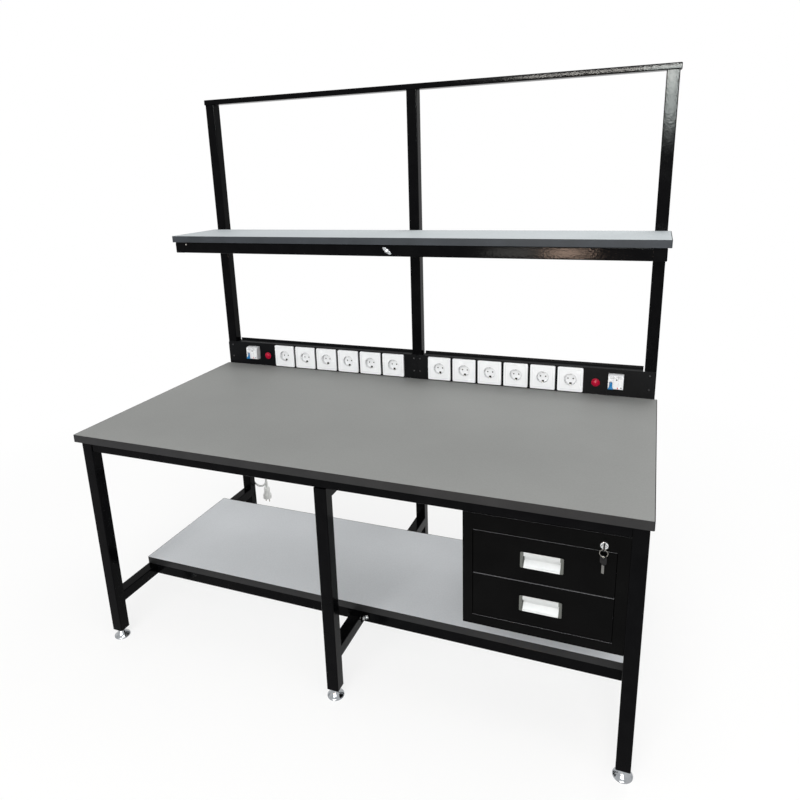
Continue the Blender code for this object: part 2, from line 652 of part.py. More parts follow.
# Circuit breakers: a moulded case behind the panel, a nose through its window and a rocking toggle in a slot.
def breaker(side, sign):
    left = sign * breaker_x - BREAKER_WIDTH / 2
    right = left + BREAKER_WIDTH
    height = TOP_HEIGHT + BREAKER_LIFT
    nose = BREAKER_NOSE / 2
    body = min(BREAKER_BODY / 2, trunk_top - SHEET - 0.001 - height)
    face = top_rear - BREAKER_PROUD
    case_front = panel_rear + GAP
    outline = [
        (face, height - nose + BREAKER_SLOPE),
        (face, height + nose - BREAKER_SLOPE),
        (face + BREAKER_SLOPE * 2, height + nose),
        (case_front, height + nose),
        (case_front, height + body),
        (case_front + BREAKER_BODY_DEPTH, height + body),
        (case_front + BREAKER_BODY_DEPTH, height - body),
        (case_front, height - body),
        (case_front, height - nose),
        (face + BREAKER_SLOPE * 2, height - nose),
    ]
    case = slab(side + "_breaker", outline, left, right, white_plastic, 0)
    slot_half = TOGGLE_WIDTH / 2 + TOGGLE_CLEARANCE
    axis_x = sign * breaker_x - TOGGLE_OFFSET
    axis_y = face + TOGGLE_SINK + TOGGLE_HUB
    axis_z = height - TOGGLE_DROP
    sweep = TOGGLE_HUB + TOGGLE_CLEARANCE
    well = rod(side + "_toggle_well", (axis_x - slot_half, axis_y, axis_z), (axis_x + slot_half, axis_y, axis_z),
               sweep, None, 20)
    root = TOGGLE_HUB * 0.5
    tip = TOGGLE_HUB * 0.34
    spread = root / math.cos(TOGGLE_ANGLE) + TOGGLE_CLEARANCE
    reach = axis_y - face + 0.001
    mouth_half = spread + reach * math.tan(TOGGLE_ANGLE)
    flare = [(axis_y, axis_z - spread), (axis_y, axis_z + spread),
             (axis_y - reach, axis_z + mouth_half), (axis_y - reach, axis_z - mouth_half)]
    mouth = slab(side + "_toggle_mouth", flare, axis_x - slot_half, axis_x + slot_half, None, 0)
    combine(case, "DIFFERENCE", well, mouth)
    toggle = rod(side + "_breaker_toggle", (axis_x - TOGGLE_WIDTH / 2, axis_y, axis_z),
                 (axis_x + TOGGLE_WIDTH / 2, axis_y, axis_z), TOGGLE_HUB, blue_plastic, 20)
    lever = slab(side + "_toggle_lever", [(0.0, -root), (0.0, root), (-TOGGLE_REACH, tip), (-TOGGLE_REACH, -tip)],
                 axis_x - TOGGLE_WIDTH / 2, axis_x + TOGGLE_WIDTH / 2, None, 0)
    lever.data.transform(Matrix.Translation((0, axis_y, axis_z)) @ Matrix.Rotation(TOGGLE_ANGLE, 4, "X"))
    combine(toggle, "UNION", lever)
    baked(toggle)
    pivot(toggle, (axis_x, axis_y, axis_z))


breaker("left", -1)
breaker("right", 1)


# Pilot lamps: a black bezel carrying a red dome, on a threaded body through the panel.
def pilot_lamp(side, sign):
    height = TOP_HEIGHT + LAMP_LIFT
    rear = -GAP
    profile = [
        (0.0, LAMP_PROUD),
        (LAMP_RADIUS * 0.55, LAMP_PROUD - 0.0008),
        (LAMP_RADIUS * 0.90, LAMP_PROUD - 0.0035),
        (LAMP_RADIUS, LAMP_PROUD - 0.0065),
        (LAMP_RADIUS, LAMP_BEZEL_THICK),
        (LAMP_BEZEL, LAMP_BEZEL_THICK),
        (LAMP_BEZEL, -rear),
        (LAMP_BODY, -rear),
        (LAMP_BODY, -LAMP_BODY_DEPTH),
        (0.0, -LAMP_BODY_DEPTH),
    ]
    lamp = turned(side + "_pilot_lamp", profile, red_lens, 24)
    lamp.rotation_euler = (math.pi / 2, 0.0, 0.0)
    lamp.location = (sign * lamp_x, top_rear, height)


pilot_lamp("left", -1)
pilot_lamp("right", 1)

# Drawer cabinet: an open-fronted sheet box with a folded front frame, hanging flanges and runner channels.
cabinet_right = inner_right
cabinet_left = cabinet_right - CABINET_WIDTH
cabinet_front = apron_front
cabinet_rear = cabinet_front + CABINET_DEPTH
cabinet_top = tube_bottom - GAP
opening_left = cabinet_left + STILE
opening_right = cabinet_right - RIGHT_STILE
opening_top = cabinet_top - FASCIA_HEIGHT
opening_bottom = CABINET_BOTTOM + SILL
drawer_step = (opening_top - opening_bottom) / 2
wall = CABINET_WALL

drawer_cabinet = block("drawer_cabinet", (cabinet_left, cabinet_front, CABINET_BOTTOM),
                       (cabinet_right, cabinet_rear, cabinet_top), frame_black)
cabinet_hollow = block("cabinet_hollow", (cabinet_left + wall, cabinet_front + FRONT_FRAME, CABINET_BOTTOM + wall),
                       (cabinet_right - wall, cabinet_rear - wall, cabinet_top - wall))
cabinet_opening = block("cabinet_opening", (opening_left, cabinet_front - 0.01, opening_bottom),
                        (opening_right, cabinet_front + FRONT_FRAME + 0.01, opening_top))
fold_depth = FRONT_FRAME + 0.01
cabinet_tools = [cabinet_hollow, cabinet_opening]
for name, low_x, high_x, low_z, high_z in (
        ("fascia_fold", cabinet_left + wall, cabinet_right - wall, opening_top + wall, cabinet_top - wall),
        ("sill_fold", cabinet_left + wall, cabinet_right - wall, CABINET_BOTTOM + wall, opening_bottom - wall),
        ("left_stile_fold", cabinet_left + wall, opening_left - wall, opening_bottom, opening_top),
        ("right_stile_fold", opening_right + wall, cabinet_right - wall, opening_bottom, opening_top)):
    cabinet_tools.append(block(name, (low_x, cabinet_front + wall, low_z),
                               (high_x, cabinet_front + fold_depth, high_z)))
combine(drawer_cabinet, "DIFFERENCE", *cabinet_tools)

hanger_front = apron_front + TUBE + HANGER_SETBACK
hanger_rear = cabinet_rear - HANGER_SETBACK
hanger_root = cabinet_top - wall / 2
for name, outer, inward in (("left_hanger", cabinet_left, 1), ("right_hanger", cabinet_right, -1)):
    near = outer + inward * wall / 4
    web = near + inward * wall
    far = outer + inward * HANGER
    fold = [(near, hanger_root), (near, tube_top), (far, tube_top), (far, tube_top - wall),
            (web, tube_top - wall), (web, hanger_root)]
    combine(drawer_cabinet, "UNION", slab(name, fold, hanger_front, hanger_rear, None, 1))

runner_front = cabinet_front + DRAWER_RECESS + PAN_DEPTH + 2 * RUNNER_CLEARANCE
runner_rear = runner_front + RUNNER_LENGTH
channel_half = RUNNER_HEIGHT / 2
for level in range(2):
    channel_height = opening_bottom + level * drawer_step + RUNNER_LIFT + channel_half
    low = channel_height - channel_half
    high = channel_height + channel_half
    for side, inward, back, web in (("left", 1, cabinet_left + wall / 2, opening_left),
                                    ("right", -1, cabinet_right - wall / 2, opening_right)):
        name = "%s_runner_%d" % (side, level)
        edge = web + inward * RUNNER_DEPTH
        groove_end = edge + inward * 0.01
        behind_start = back - inward * 0.01
        behind_end = web - inward * wall
        channel = block(name, (min(back, edge), runner_front, low - wall),
                        (max(back, edge), runner_rear, high + wall))
        groove = block(name + "_groove", (min(web, groove_end), runner_front - 0.01, low),
                       (max(web, groove_end), runner_rear + 0.01, high))
        behind = block(name + "_behind", (min(behind_start, behind_end), runner_front - 0.01, low),
                       (max(behind_start, behind_end), runner_rear + 0.01, high))
        combine(channel, "DIFFERENCE", groove, behind)
        combine(drawer_cabinet, "UNION", baked(channel))

# Cam lock: a barrel through the fascia, a turning plug with its cam, the key in it and a spare key on a ring.
lock_x = cabinet_right - LOCK_INSET
lock_height = cabinet_top - LOCK_DROP
lock_rear = cabinet_front + LOCK_BODY_DEPTH
barrel_hole = rod("barrel_hole", (lock_x, cabinet_front - 0.01, lock_height),
                  (lock_x, cabinet_front + wall + 0.005, lock_height), LOCK_BODY + BODY_CLEARANCE, None, 20)
combine(drawer_cabinet, "DIFFERENCE", barrel_hole)
lock_face = cabinet_front - GAP - LOCK_PROUD
lock_barrel = rod("lock_barrel", (lock_x, lock_face, lock_height), (lock_x, cabinet_front - GAP, lock_height),
                  LOCK_RADIUS * 0.86, chrome, 24, LOCK_RADIUS)
barrel_body = rod("barrel_body", (lock_x, lock_face + LOCK_PROUD / 2, lock_height),
                  (lock_x, lock_rear, lock_height), LOCK_BODY, None, 20)
barrel_bore = rod("barrel_bore", (lock_x, lock_face - 0.01, lock_height), (lock_x, lock_rear + 0.01, lock_height),
                  PLUG_RADIUS + PLUG_CLEARANCE, None, 20)
combine(lock_barrel, "UNION", barrel_body)
combine(lock_barrel, "DIFFERENCE", barrel_bore)

plug_face = lock_face - GAP
plug_rear = lock_rear + GAP
lock_plug = rod("lock_plug", (lock_x, plug_face, lock_height), (lock_x, plug_rear + CAM_THICK, lock_height),
                PLUG_RADIUS, chrome, 20)
cam = block("lock_cam", (lock_x - CAM_LENGTH, plug_rear, lock_height - CAM_WIDTH / 2),
            (lock_x + CAM_WIDTH / 2, plug_rear + CAM_THICK, lock_height + CAM_WIDTH / 2), None, 1, CAM_WIDTH * 0.3)
keyway_x = KEY_THICK / 2 + PLUG_CLEARANCE
keyway_z = KEY_BLADE / 2 + PLUG_CLEARANCE
keyway = block("keyway", (lock_x - keyway_x, plug_face - 0.01, lock_height - keyway_z),
               (lock_x + keyway_x, lock_rear - 0.002, lock_height + keyway_z))
combine(lock_plug, "UNION", cam)
combine(lock_plug, "DIFFERENCE", keyway)
baked(lock_plug)
pivot(lock_plug, (lock_x, plug_face, lock_height))

bow_rear = plug_face - GAP
slot_y = bow_rear - BOW_LENGTH * 0.68
slot_low = lock_height - BOW_HEIGHT * 0.30
lock_key = block("lock_key", (lock_x - BOW_THICK / 2, bow_rear - BOW_LENGTH, lock_height - BOW_HEIGHT / 2),
                 (lock_x + BOW_THICK / 2, bow_rear, lock_height + BOW_HEIGHT / 2), black_plastic, 0,
                 BOW_HEIGHT * 0.3)
blade = block("lock_key_blade", (lock_x - KEY_THICK / 2, bow_rear - 0.003, lock_height - KEY_BLADE / 2),
              (lock_x + KEY_THICK / 2, lock_rear - 0.003, lock_height + KEY_BLADE / 2))
bow_slot = block("lock_key_slot", (lock_x - BOW_THICK, slot_y - SLOT_LENGTH / 2, slot_low),
                 (lock_x + BOW_THICK, slot_y + SLOT_LENGTH / 2, slot_low + SLOT_HEIGHT))
combine(lock_key, "UNION", blade)
combine(lock_key, "DIFFERENCE", bow_slot)
baked(lock_key)
pivot(lock_key, (lock_x, bow_rear, lock_height))

ring_top = slot_low + RING_WIRE + RING_PLAY
ring_shape = bpy.data.curves.new("key_ring", "CURVE")
ring_shape.dimensions = "3D"
ring_shape.bevel_depth = RING_WIRE
ring_shape.bevel_resolution = 1
ring_line = ring_shape.splines.new("POLY")
ring_line.points.add(RING_POINTS - 1)
for number, point in enumerate(ring_line.points):
    turn = math.tau * number / RING_POINTS
    point.co = (RING_RADIUS * math.sin(turn), 0.0, RING_RADIUS * math.cos(turn) - RING_RADIUS, 1.0)
ring_line.use_cyclic_u = True
key_ring = bpy.data.objects.new("key_ring", ring_shape)
parts.objects.link(key_ring)
key_ring.data.materials.append(nickel)
key_ring.location = (lock_x, slot_y, ring_top)

# The spare key is drawn facing the front about its own middle, then turned on the ring and hung from it.
spare_slot_top = RING_WIRE + RING_PLAY
spare_top = spare_slot_top + SPARE_BORDER
spare_half = BOW_THICK * 0.3
spare_key = block("spare_key", (-BOW_HEIGHT / 2, -spare_half, spare_top - SPARE_BOW),
                  (BOW_HEIGHT / 2, spare_half, spare_top), black_plastic, 1, BOW_HEIGHT * 0.3)
spare_blade = block("spare_key_blade", (-KEY_BLADE / 2, -KEY_THICK / 2, spare_top - SPARE_BOW - SPARE_BLADE),
                    (KEY_BLADE / 2, KEY_THICK / 2, spare_top - SPARE_BOW + 0.003))
spare_slot = block("spare_key_slot", (-SPARE_SLOT / 2, -BOW_THICK, spare_slot_top - SLOT_HEIGHT),
                   (SPARE_SLOT / 2, BOW_THICK, spare_slot_top))
combine(spare_key, "UNION", spare_blade)
combine(spare_key, "DIFFERENCE", spare_slot)
baked(spare_key)
spare_key.data.transform(Matrix.Translation((0, 0, -2 * RING_RADIUS)) @ Matrix.Rotation(SPARE_TURN, 4, "Z"))
spare_key.location = (lock_x, slot_y, ring_top)


# Drawers: a tray with side rails that run in the cabinet's channels, behind a pan front with a recessed pull.
def drawer(name, level):
    left = opening_left + REVEAL
    right = opening_right - REVEAL
    bottom = opening_bottom + level * drawer_step + REVEAL
    top = opening_bottom + (level + 1) * drawer_step - REVEAL
    face = cabinet_front + DRAWER_RECESS
    pan_rear = face + PAN_DEPTH
    tray_left = opening_left + RUNNER_DEPTH + TRAY_CLEARANCE
    tray_right = opening_right - RUNNER_DEPTH - TRAY_CLEARANCE
    tray_bottom = bottom + TRAY_LIFT
    tray_top = tray_bottom + TRAY_HEIGHT
    tray_rear = pan_rear + TRAY_LENGTH
    pan = block(name, (left, face, bottom), (right, pan_rear, top), frame_black)
    pan_hollow = block(name + "_pan_hollow", (left + wall, face + wall, bottom + wall),
                       (right - wall, pan_rear + 0.01, top - wall))
    combine(pan, "DIFFERENCE", pan_hollow)
    tray = block(name + "_tray", (tray_left, pan_rear - wall, tray_bottom), (tray_right, tray_rear, tray_top))
    apron = block(name + "_pan_back", (left, pan_rear - wall, bottom), (right, pan_rear, tray_top))
    tray_hollow = block(name + "_tray_hollow", (tray_left + wall, pan_rear, tray_bottom + wall),
                        (tray_right - wall, tray_rear - wall, tray_top + 0.01))
    rail_half = RUNNER_HEIGHT / 2 - RUNNER_CLEARANCE
    rail_height = opening_bottom + level * drawer_step + RUNNER_LIFT + RUNNER_HEIGHT / 2
    rail_front = pan_rear - wall / 2
    rails = []
    for side, inner, outer in (("left", tray_left, opening_left + RUNNER_CLEARANCE),
                               ("right", tray_right, opening_right - RUNNER_CLEARANCE)):
        reach = inner + wall / 2 if side == "left" else inner - wall / 2
        rails.append(block("%s_%s_rail" % (name, side), (min(reach, outer), rail_front, rail_height - rail_half),
                           (max(reach, outer), runner_rear - RAIL_SHORT, rail_height + rail_half)))
    combine(pan, "UNION", apron, tray, *rails)
    combine(pan, "DIFFERENCE", tray_hollow)
    middle = (left + right) / 2
    height = (bottom + top) / 2
    cut_x = PULL_WIDTH / 2 - PULL_BORDER + PULL_WALL + PULL_CLEARANCE
    cut_z = PULL_HEIGHT / 2 - PULL_BASE + PULL_CLEARANCE
    window = block(name + "_window", (middle - cut_x, face - 0.01, height - cut_z),
                   (middle + cut_x, face + wall + 0.001, height + cut_z))
    combine(pan, "DIFFERENCE", window)
    pull(name + "_handle", middle, face - GAP, height)


def pull(name, x, rear, height):
    """A flanged cup with a sloping floor and a finger lip along its top."""
    face = rear - PULL_FLANGE
    half_x = PULL_WIDTH / 2
    half_z = PULL_HEIGHT / 2
    flange = block(name, (x - half_x, face, height - half_z), (x + half_x, rear, height + half_z), silver, 1, 0.003)
    inner_x = half_x - PULL_BORDER
    cup_x = inner_x + PULL_WALL
    cup_z = half_z - PULL_BASE
    cup_rear = face + PULL_DEPTH
    cup = slab(name + "_cup", [(rear - PULL_FLANGE / 2, height - cup_z), (rear - PULL_FLANGE / 2, height + cup_z),
                               (cup_rear, height + cup_z), (cup_rear, height - cup_z * PULL_SLOPE)],
               x - cup_x, x + cup_x, None, 0)
    combine(flange, "UNION", cup)
    top = height + cup_z - PULL_WALL
    lip = height + half_z - PULL_LIP
    floor = height - cup_z + PULL_WALL
    back = cup_rear - PULL_WALL
    hollow = [(face - 0.01, floor), (face - 0.01, lip), (face + PULL_LIP_THICK, lip), (face + PULL_LIP_THICK, top),
              (back, top), (back, height - cup_z * PULL_SLOPE + PULL_WALL), (face + PULL_FLANGE, floor)]
    combine(flange, "DIFFERENCE", slab(name + "_hollow", hollow, x - inner_x, x + inner_x, None, 0))


drawer("lower_drawer", 0)
drawer("upper_drawer", 1)

# Mains lead: it leaves the left trunk's back through a gland, hangs down and ends in a tied hank with the plug.
gland_x = frame_left + GLAND_INSET
hank_x = frame_left + HANK_INSET
plug_x = frame_left + PLUG_INSET
gland_height = TOP_HEIGHT + GLAND_HEIGHT
gland_front = trunk_rear + GAP
gland_rear = gland_front + GLAND_LENGTH
cable_gland = rod("cable_gland", (gland_x, gland_front, gland_height),
                  (gland_x, gland_front + GLAND_LENGTH * 0.4, gland_height), GLAND_RADIUS, black_plastic, 6)
gland_dome = rod("gland_dome", (gland_x, gland_front + GLAND_LENGTH * 0.3, gland_height),
                 (gland_x, gland_rear, gland_height), GLAND_RADIUS * 0.86, None, 16, CORD_RADIUS * 1.4)
combine(cable_gland, "UNION", gland_dome)


def smooth(points, count):
    """Points spaced evenly by parameter along a smooth curve through the given ones."""
    knots = [Vector(point) for point in points]
    knots = [knots[0] * 2 - knots[1]] + knots + [knots[-1] * 2 - knots[-2]]
    made = []
    spans = len(knots) - 3
    for number in range(count):
        place = spans * number / (count - 1)
        span = min(int(place), spans - 1)
        t = place - span
        a, b, c, d = knots[span:span + 4]
        square = 2 * a - 5 * b + 4 * c - d
        cube = 3 * b - a - 3 * c + d
        made.append(0.5 * (2 * b + (c - a) * t + square * t ** 2 + cube * t ** 3))
    return made


def cord_tube(name, points, look, resolution):
    curve = bpy.data.curves.new(name, "CURVE")
    curve.dimensions = "3D"
    curve.bevel_depth = CORD_RADIUS
    curve.bevel_resolution = resolution
    curve.use_fill_caps = True
    line = curve.splines.new("POLY")
    line.points.add(len(points) - 1)
    for point, place in zip(line.points, points):
        point.co = (*place, 1.0)
    item = bpy.data.objects.new(name, curve)
    parts.objects.link(item)
    item.data.materials.append(look)
    return item


# The hank lies behind the left post. Its loops are drawn in at the waist, fold round at each end and climb one
# layer along each left run.
hank_first = post_rear + HANK_BACK
hank_last = hank_first + HANK_LOOPS * HANK_PITCH


def loop_point(turns):
    """A point after so many turns, counted from the waist of the first right run, going down."""
    whole = math.floor(turns)
    part = turns - whole
    climb = min(max((part - 0.36) / 0.28, 0.0), 1.0)
    layer = whole + climb * climb * (3.0 - 2.0 * climb)
    quarter = int(part * 4)
    step = part * 4 - quarter
    if quarter % 2:
        step = 1.0 - step
    slack = turns < 0.5
    run = SLACK_RUN if slack else HANK_RUN
    fold = SLACK_FOLD if slack else HANK_FOLD
    if step < RUN_SHARE:
        share = step / RUN_SHARE
        width = HANK_WAIST + (fold - HANK_WAIST) * share * share * (3.0 - 2.0 * share)
        height = run * share
    else:
        turn = (step - RUN_SHARE) / (1.0 - RUN_SHARE) * math.pi / 2
        width = fold * math.cos(turn)
        height = run + fold * math.sin(turn)
    side = width if quarter in (0, 3) else -width
    rise = -height if quarter < 2 else height
    return Vector((hank_x + side, hank_first + layer * HANK_PITCH, HANK_HEIGHT + rise))


hank_top = HANK_HEIGHT + HANK_RUN + HANK_FOLD + 3 * CORD_RADIUS
hank_in = hank_x + HANK_WAIST
lead_in = smooth([(hank_in, hank_first, hank_top),
                  (hank_in, hank_first, hank_top - 2 * CORD_RADIUS),
                  (hank_in, hank_first, HANK_HEIGHT + HANK_RUN * 0.7),
                  loop_point(0.0)], 8)[:-1]
loops = [loop_point(number / LOOP_POINTS) for number in range(HANK_LOOPS * LOOP_POINTS + 1)]
tail = smooth([loops[-1],
               (hank_in * 0.8 + plug_x * 0.2, hank_last, HANK_HEIGHT - 0.025),
               (plug_x, hank_last, PLUG_TOP + 0.030),
               (plug_x, hank_last, PLUG_TOP + 2 * CORD_RADIUS + GAP),
               (plug_x, hank_last, PLUG_TOP + GAP)], 12)[1:]
hank_route = lead_in + loops + tail
cord_tube("cord_hank", hank_route, pale_cable, 1)

least = 1.0
for first_index, here in enumerate(hank_route):
    run = 0.0
    for later in range(first_index + 1, len(hank_route) - 1):
        run += (hank_route[later] - hank_route[later - 1]).length
        if run < 6 * CORD_RADIUS:
            continue
        along = hank_route[later + 1] - hank_route[later]
        share = min(max((here - hank_route[later]).dot(along) / along.length_squared, 0.0), 1.0)
        least = min(least, (hank_route[later] + along * share - here).length)
print("hank gap to itself: %.2f mm" % ((least - 2 * CORD_RADIUS) * 1000))

drop_turns = [math.pi / 2 * step / DROP_STEPS for step in range(DROP_STEPS + 1)]
drop_bend = [Vector((gland_x, gland_rear + DROP_STRAIGHT + DROP_BEND * math.sin(turn),
                     gland_height - DROP_BEND * (1.0 - math.cos(turn)))) for turn in drop_turns]
drop_fall = smooth([drop_bend[-1],
                    drop_bend[-1] - Vector((0.0, 0.0, 2 * DROP_BEND)),
                    (gland_x * 0.6 + hank_in * 0.4, gland_rear + 0.028, gland_height - 0.200),
                    (gland_x * 0.2 + hank_in * 0.8, hank_first + 0.006, hank_top + 0.150),
                    (hank_in, hank_first, hank_top + 0.030),
                    (hank_in, hank_first, hank_top + GAP)], 26)
drop_route = [Vector((gland_x, gland_rear + GAP, gland_height))] + drop_bend + drop_fall[1:]
cord_tube("cord_drop", drop_route, pale_cable, 2)

tie_x = HANK_WAIST + CORD_RADIUS + TIE_CLEARANCE
tie_front = hank_first - CORD_RADIUS - TIE_CLEARANCE
tie_rear = hank_last + CORD_RADIUS + TIE_CLEARANCE
tie_low = HANK_HEIGHT - TIE_HEIGHT / 2
hank_tie = block("hank_tie", (hank_x - tie_x - TIE_THICK, tie_front - TIE_THICK, tie_low),
                 (hank_x + tie_x + TIE_THICK, tie_rear + TIE_THICK, tie_low + TIE_HEIGHT), black_plastic, 2,
                 CORD_RADIUS)
tie_hole = block("tie_hole", (hank_x - tie_x, tie_front, tie_low - 0.01),
                 (hank_x + tie_x, tie_rear, tie_low + TIE_HEIGHT + 0.01), None, 2, CORD_RADIUS * 0.6)
combine(hank_tie, "DIFFERENCE", tie_hole)

plug_profile = [
    (0.0, 0.0),
    (CORD_RADIUS * 1.35, 0.0),
    (CORD_RADIUS * 1.6, -PLUG_LENGTH * 0.26),
    (PLUG_BODY * 0.72, -PLUG_LENGTH * 0.34),
    (PLUG_BODY * 0.66, -PLUG_LENGTH * 0.52),
    (PLUG_BODY * 0.95, -PLUG_LENGTH * 0.62),
    (PLUG_BODY, -PLUG_LENGTH * 0.66),
    (PLUG_BODY, -PLUG_LENGTH + PLUG_PIN_LENGTH),
    (0.0, -PLUG_LENGTH + PLUG_PIN_LENGTH),
]
mains_plug = turned("mains_plug", plug_profile, grey_plastic, 20)
baked(mains_plug)
for side in (-1, 1):
    pin_x = side * PIN_SPACING / 2
    pin = rod("plug_pin%d" % side, (pin_x, 0.0, -PLUG_LENGTH),
              (pin_x, 0.0, -PLUG_LENGTH + PLUG_PIN_LENGTH + 0.004), PLUG_PIN, None, 10)
    combine(mains_plug, "UNION", pin)
baked(mains_plug)
mains_plug.location = (plug_x, hank_last, PLUG_TOP)
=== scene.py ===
"""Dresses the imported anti-static workbench: its finishes, soft edges, fasteners, sockets, lamps and mains lead."""

import math

import bmesh
import bpy
from mathutils import Matrix, Vector


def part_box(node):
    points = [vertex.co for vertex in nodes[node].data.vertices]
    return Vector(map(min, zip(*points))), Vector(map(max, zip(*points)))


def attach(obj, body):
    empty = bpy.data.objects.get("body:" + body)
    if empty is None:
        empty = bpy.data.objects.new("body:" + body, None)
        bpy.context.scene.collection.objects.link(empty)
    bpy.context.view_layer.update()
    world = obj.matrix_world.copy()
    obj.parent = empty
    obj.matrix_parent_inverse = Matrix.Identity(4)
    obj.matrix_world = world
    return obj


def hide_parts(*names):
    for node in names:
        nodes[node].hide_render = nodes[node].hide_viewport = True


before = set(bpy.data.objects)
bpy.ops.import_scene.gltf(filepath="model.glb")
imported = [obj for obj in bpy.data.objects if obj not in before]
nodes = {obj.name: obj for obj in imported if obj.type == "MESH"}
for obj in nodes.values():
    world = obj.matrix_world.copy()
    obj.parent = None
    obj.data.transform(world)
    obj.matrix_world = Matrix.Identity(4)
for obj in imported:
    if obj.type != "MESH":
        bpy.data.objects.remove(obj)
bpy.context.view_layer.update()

# Studio: a seamless white floor that keeps the shadow, soft lamps overhead, behind and in front, and a low fill that
# leaves no highlight. Four cards light nothing and are only mirrored by the black paint. The camera is at head height
# before the bench's right end.


def linear(code):
    """A hex colour as linear red, green, blue and alpha."""
    shares = [int(code[place:place + 2], 16) / 255 for place in (1, 3, 5)]
    return [share / 12.92 if share <= 0.04045 else ((share + 0.055) / 1.055) ** 2.4 for share in shares] + [1.0]


def add(tree, kind, links=None, values=None, **settings):
    """Adds a node with its settings, its sockets' values and the outputs that feed its other sockets."""
    made = tree.nodes.new("ShaderNode" + kind)
    for name, setting in settings.items():
        setattr(made, name, setting)
    for socket, value in (values or {}).items():
        made.inputs[socket].default_value = value
    for socket, source in (links or {}).items():
        tree.links.new(source, made.inputs[socket])
    return made


def shown(tree):
    """1 for a ray that sees the white surround itself: from the camera, off a mirror or through glass."""
    ray = add(tree, "LightPath")
    seen = add(tree, "Math", {0: ray.outputs["Is Camera Ray"], 1: ray.outputs["Is Glossy Ray"]}, operation="MAXIMUM")
    seen = add(tree, "Math", {0: seen.outputs[0], 1: ray.outputs["Is Transmission Ray"]}, operation="MAXIMUM")
    return seen.outputs[0]


AMBIENT = 0.50
FLOOR_GLOW = 0.78
GLOW_NEAR = 1.0
GLOW_FAR = 3.0

scene = bpy.context.scene
scene.view_settings.view_transform = "Standard"
bpy.ops.object.select_all(action="DESELECT")
bpy.ops.object.camera_add(location=(0.8509, -1.9655, 1.6191), rotation=(1.300212, 0.030866, 0.370173))
camera = bpy.context.object
camera.data.sensor_width = 36.0
camera.data.lens = 29.688
camera.data.shift_x = 0.00796
camera.data.shift_y = -0.0597
scene.camera = camera

scene.world = bpy.data.worlds.new("white_surround")
scene.world.use_nodes = True
tree = scene.world.node_tree
tree.nodes.clear()
level = add(tree, "MapRange", {"Value": shown(tree)}, {"To Min": AMBIENT, "To Max": 1.0})
sky = add(tree, "Background", {"Strength": level.outputs[0]}, {"Color": (1.0, 1.0, 1.0, 1.0)})
add(tree, "OutputWorld", {"Surface": sky.outputs[0]})

bpy.ops.mesh.primitive_plane_add(size=60.0)
floor = bpy.context.object
floor.name = "floor"
# Studio floor: matt painted board, which glows white to the camera and more so away from the bench.
white_floor = bpy.data.materials.new("white_floor")
white_floor.use_nodes = True
tree = white_floor.node_tree
tree.nodes.clear()
away = add(tree, "VectorMath", {0: add(tree, "TexCoord").outputs["Object"]}, operation="LENGTH")
glowing = add(tree, "MapRange", {"Value": away.outputs["Value"]},
              {"From Min": GLOW_NEAR, "From Max": GLOW_FAR, "To Min": FLOOR_GLOW, "To Max": 1.0})
share = add(tree, "Math", {0: shown(tree), 1: glowing.outputs[0]}, operation="MULTIPLY")
matt = add(tree, "BsdfDiffuse", None, {"Color": linear("#F4F4F2")})
glow = add(tree, "Emission", None, {"Color": (1.0, 1.0, 1.0, 1.0), "Strength": 1.0})
both = add(tree, "MixShader", {0: share.outputs[0], 1: matt.outputs[0], 2: glow.outputs[0]})
add(tree, "OutputMaterial", {"Surface": both.outputs[0]})
floor.data.materials.append(white_floor)

for name, power, wide, high, tint, place, target, lights, shines in (
        ("lamp_overhead", 52.0, 3.0, 2.0, "#FFFFFF", (1.0, -1.2, 4.6), (0.4, 0.0, 0.6), True, True),
        ("lamp_rear", 38.0, 2.4, 1.4, "#FFFFFF", (1.1, 2.4, 3.4), (0.4, 0.2, 0.7), True, False),
        ("lamp_front", 170.0, 4.0, 2.4, "#FFFFFF", (0.5, -5.0, 3.6), (0.1, 0.0, 0.4), True, True),
        ("lamp_fill", 115.0, 4.0, 1.6, "#FFFFFF", (0.3, -5.0, 1.2), (0.0, 0.0, 0.6), True, False),
        ("tall_card", 191.0, 0.44, 0.8, "#F6FFFC", (0.93, -6.0, 2.47), (0.93, 0.0, 1.70), False, True),
        ("wide_card", 230.0, 1.9, 0.20, "#FFFCF4", (0.10, -6.0, 2.68), (0.10, 0.0, 1.90), False, True),
        ("warm_card", 20.0, 0.28, 0.20, "#FFDCC4", (0.235, -3.0, 0.95), (0.55, 0.15, 1.35), False, True),
        ("dim_card", 4.2, 0.36, 0.20, "#FFFBF4", (-0.18, -3.0, 0.95), (0.40, 0.15, 1.35), False, True)):
    bpy.ops.object.light_add(type="AREA", location=place)
    lamp = bpy.context.object
    lamp.name = name
    lamp.data.energy = power
    lamp.data.color = linear(tint)[:3]
    lamp.data.shape = "RECTANGLE"
    lamp.data.size = wide
    lamp.data.size_y = high
    lamp.visible_diffuse = lights
    lamp.visible_glossy = shines
    lamp.rotation_euler = (Vector(target) - Vector(place)).to_track_quat("-Z", "Y").to_euler()

# Mains lead: an 8 mm round PVC flex that leaves the left trunk's back through a gland, falls behind the left post
# and is folded into a tied hank, with a moulded two-pin plug below it. It is 2.37 m long from gland to plug.


CLOUD_LOW = 0.25
CLOUD_HIGH = 0.75
CREASE = math.radians(32.0)


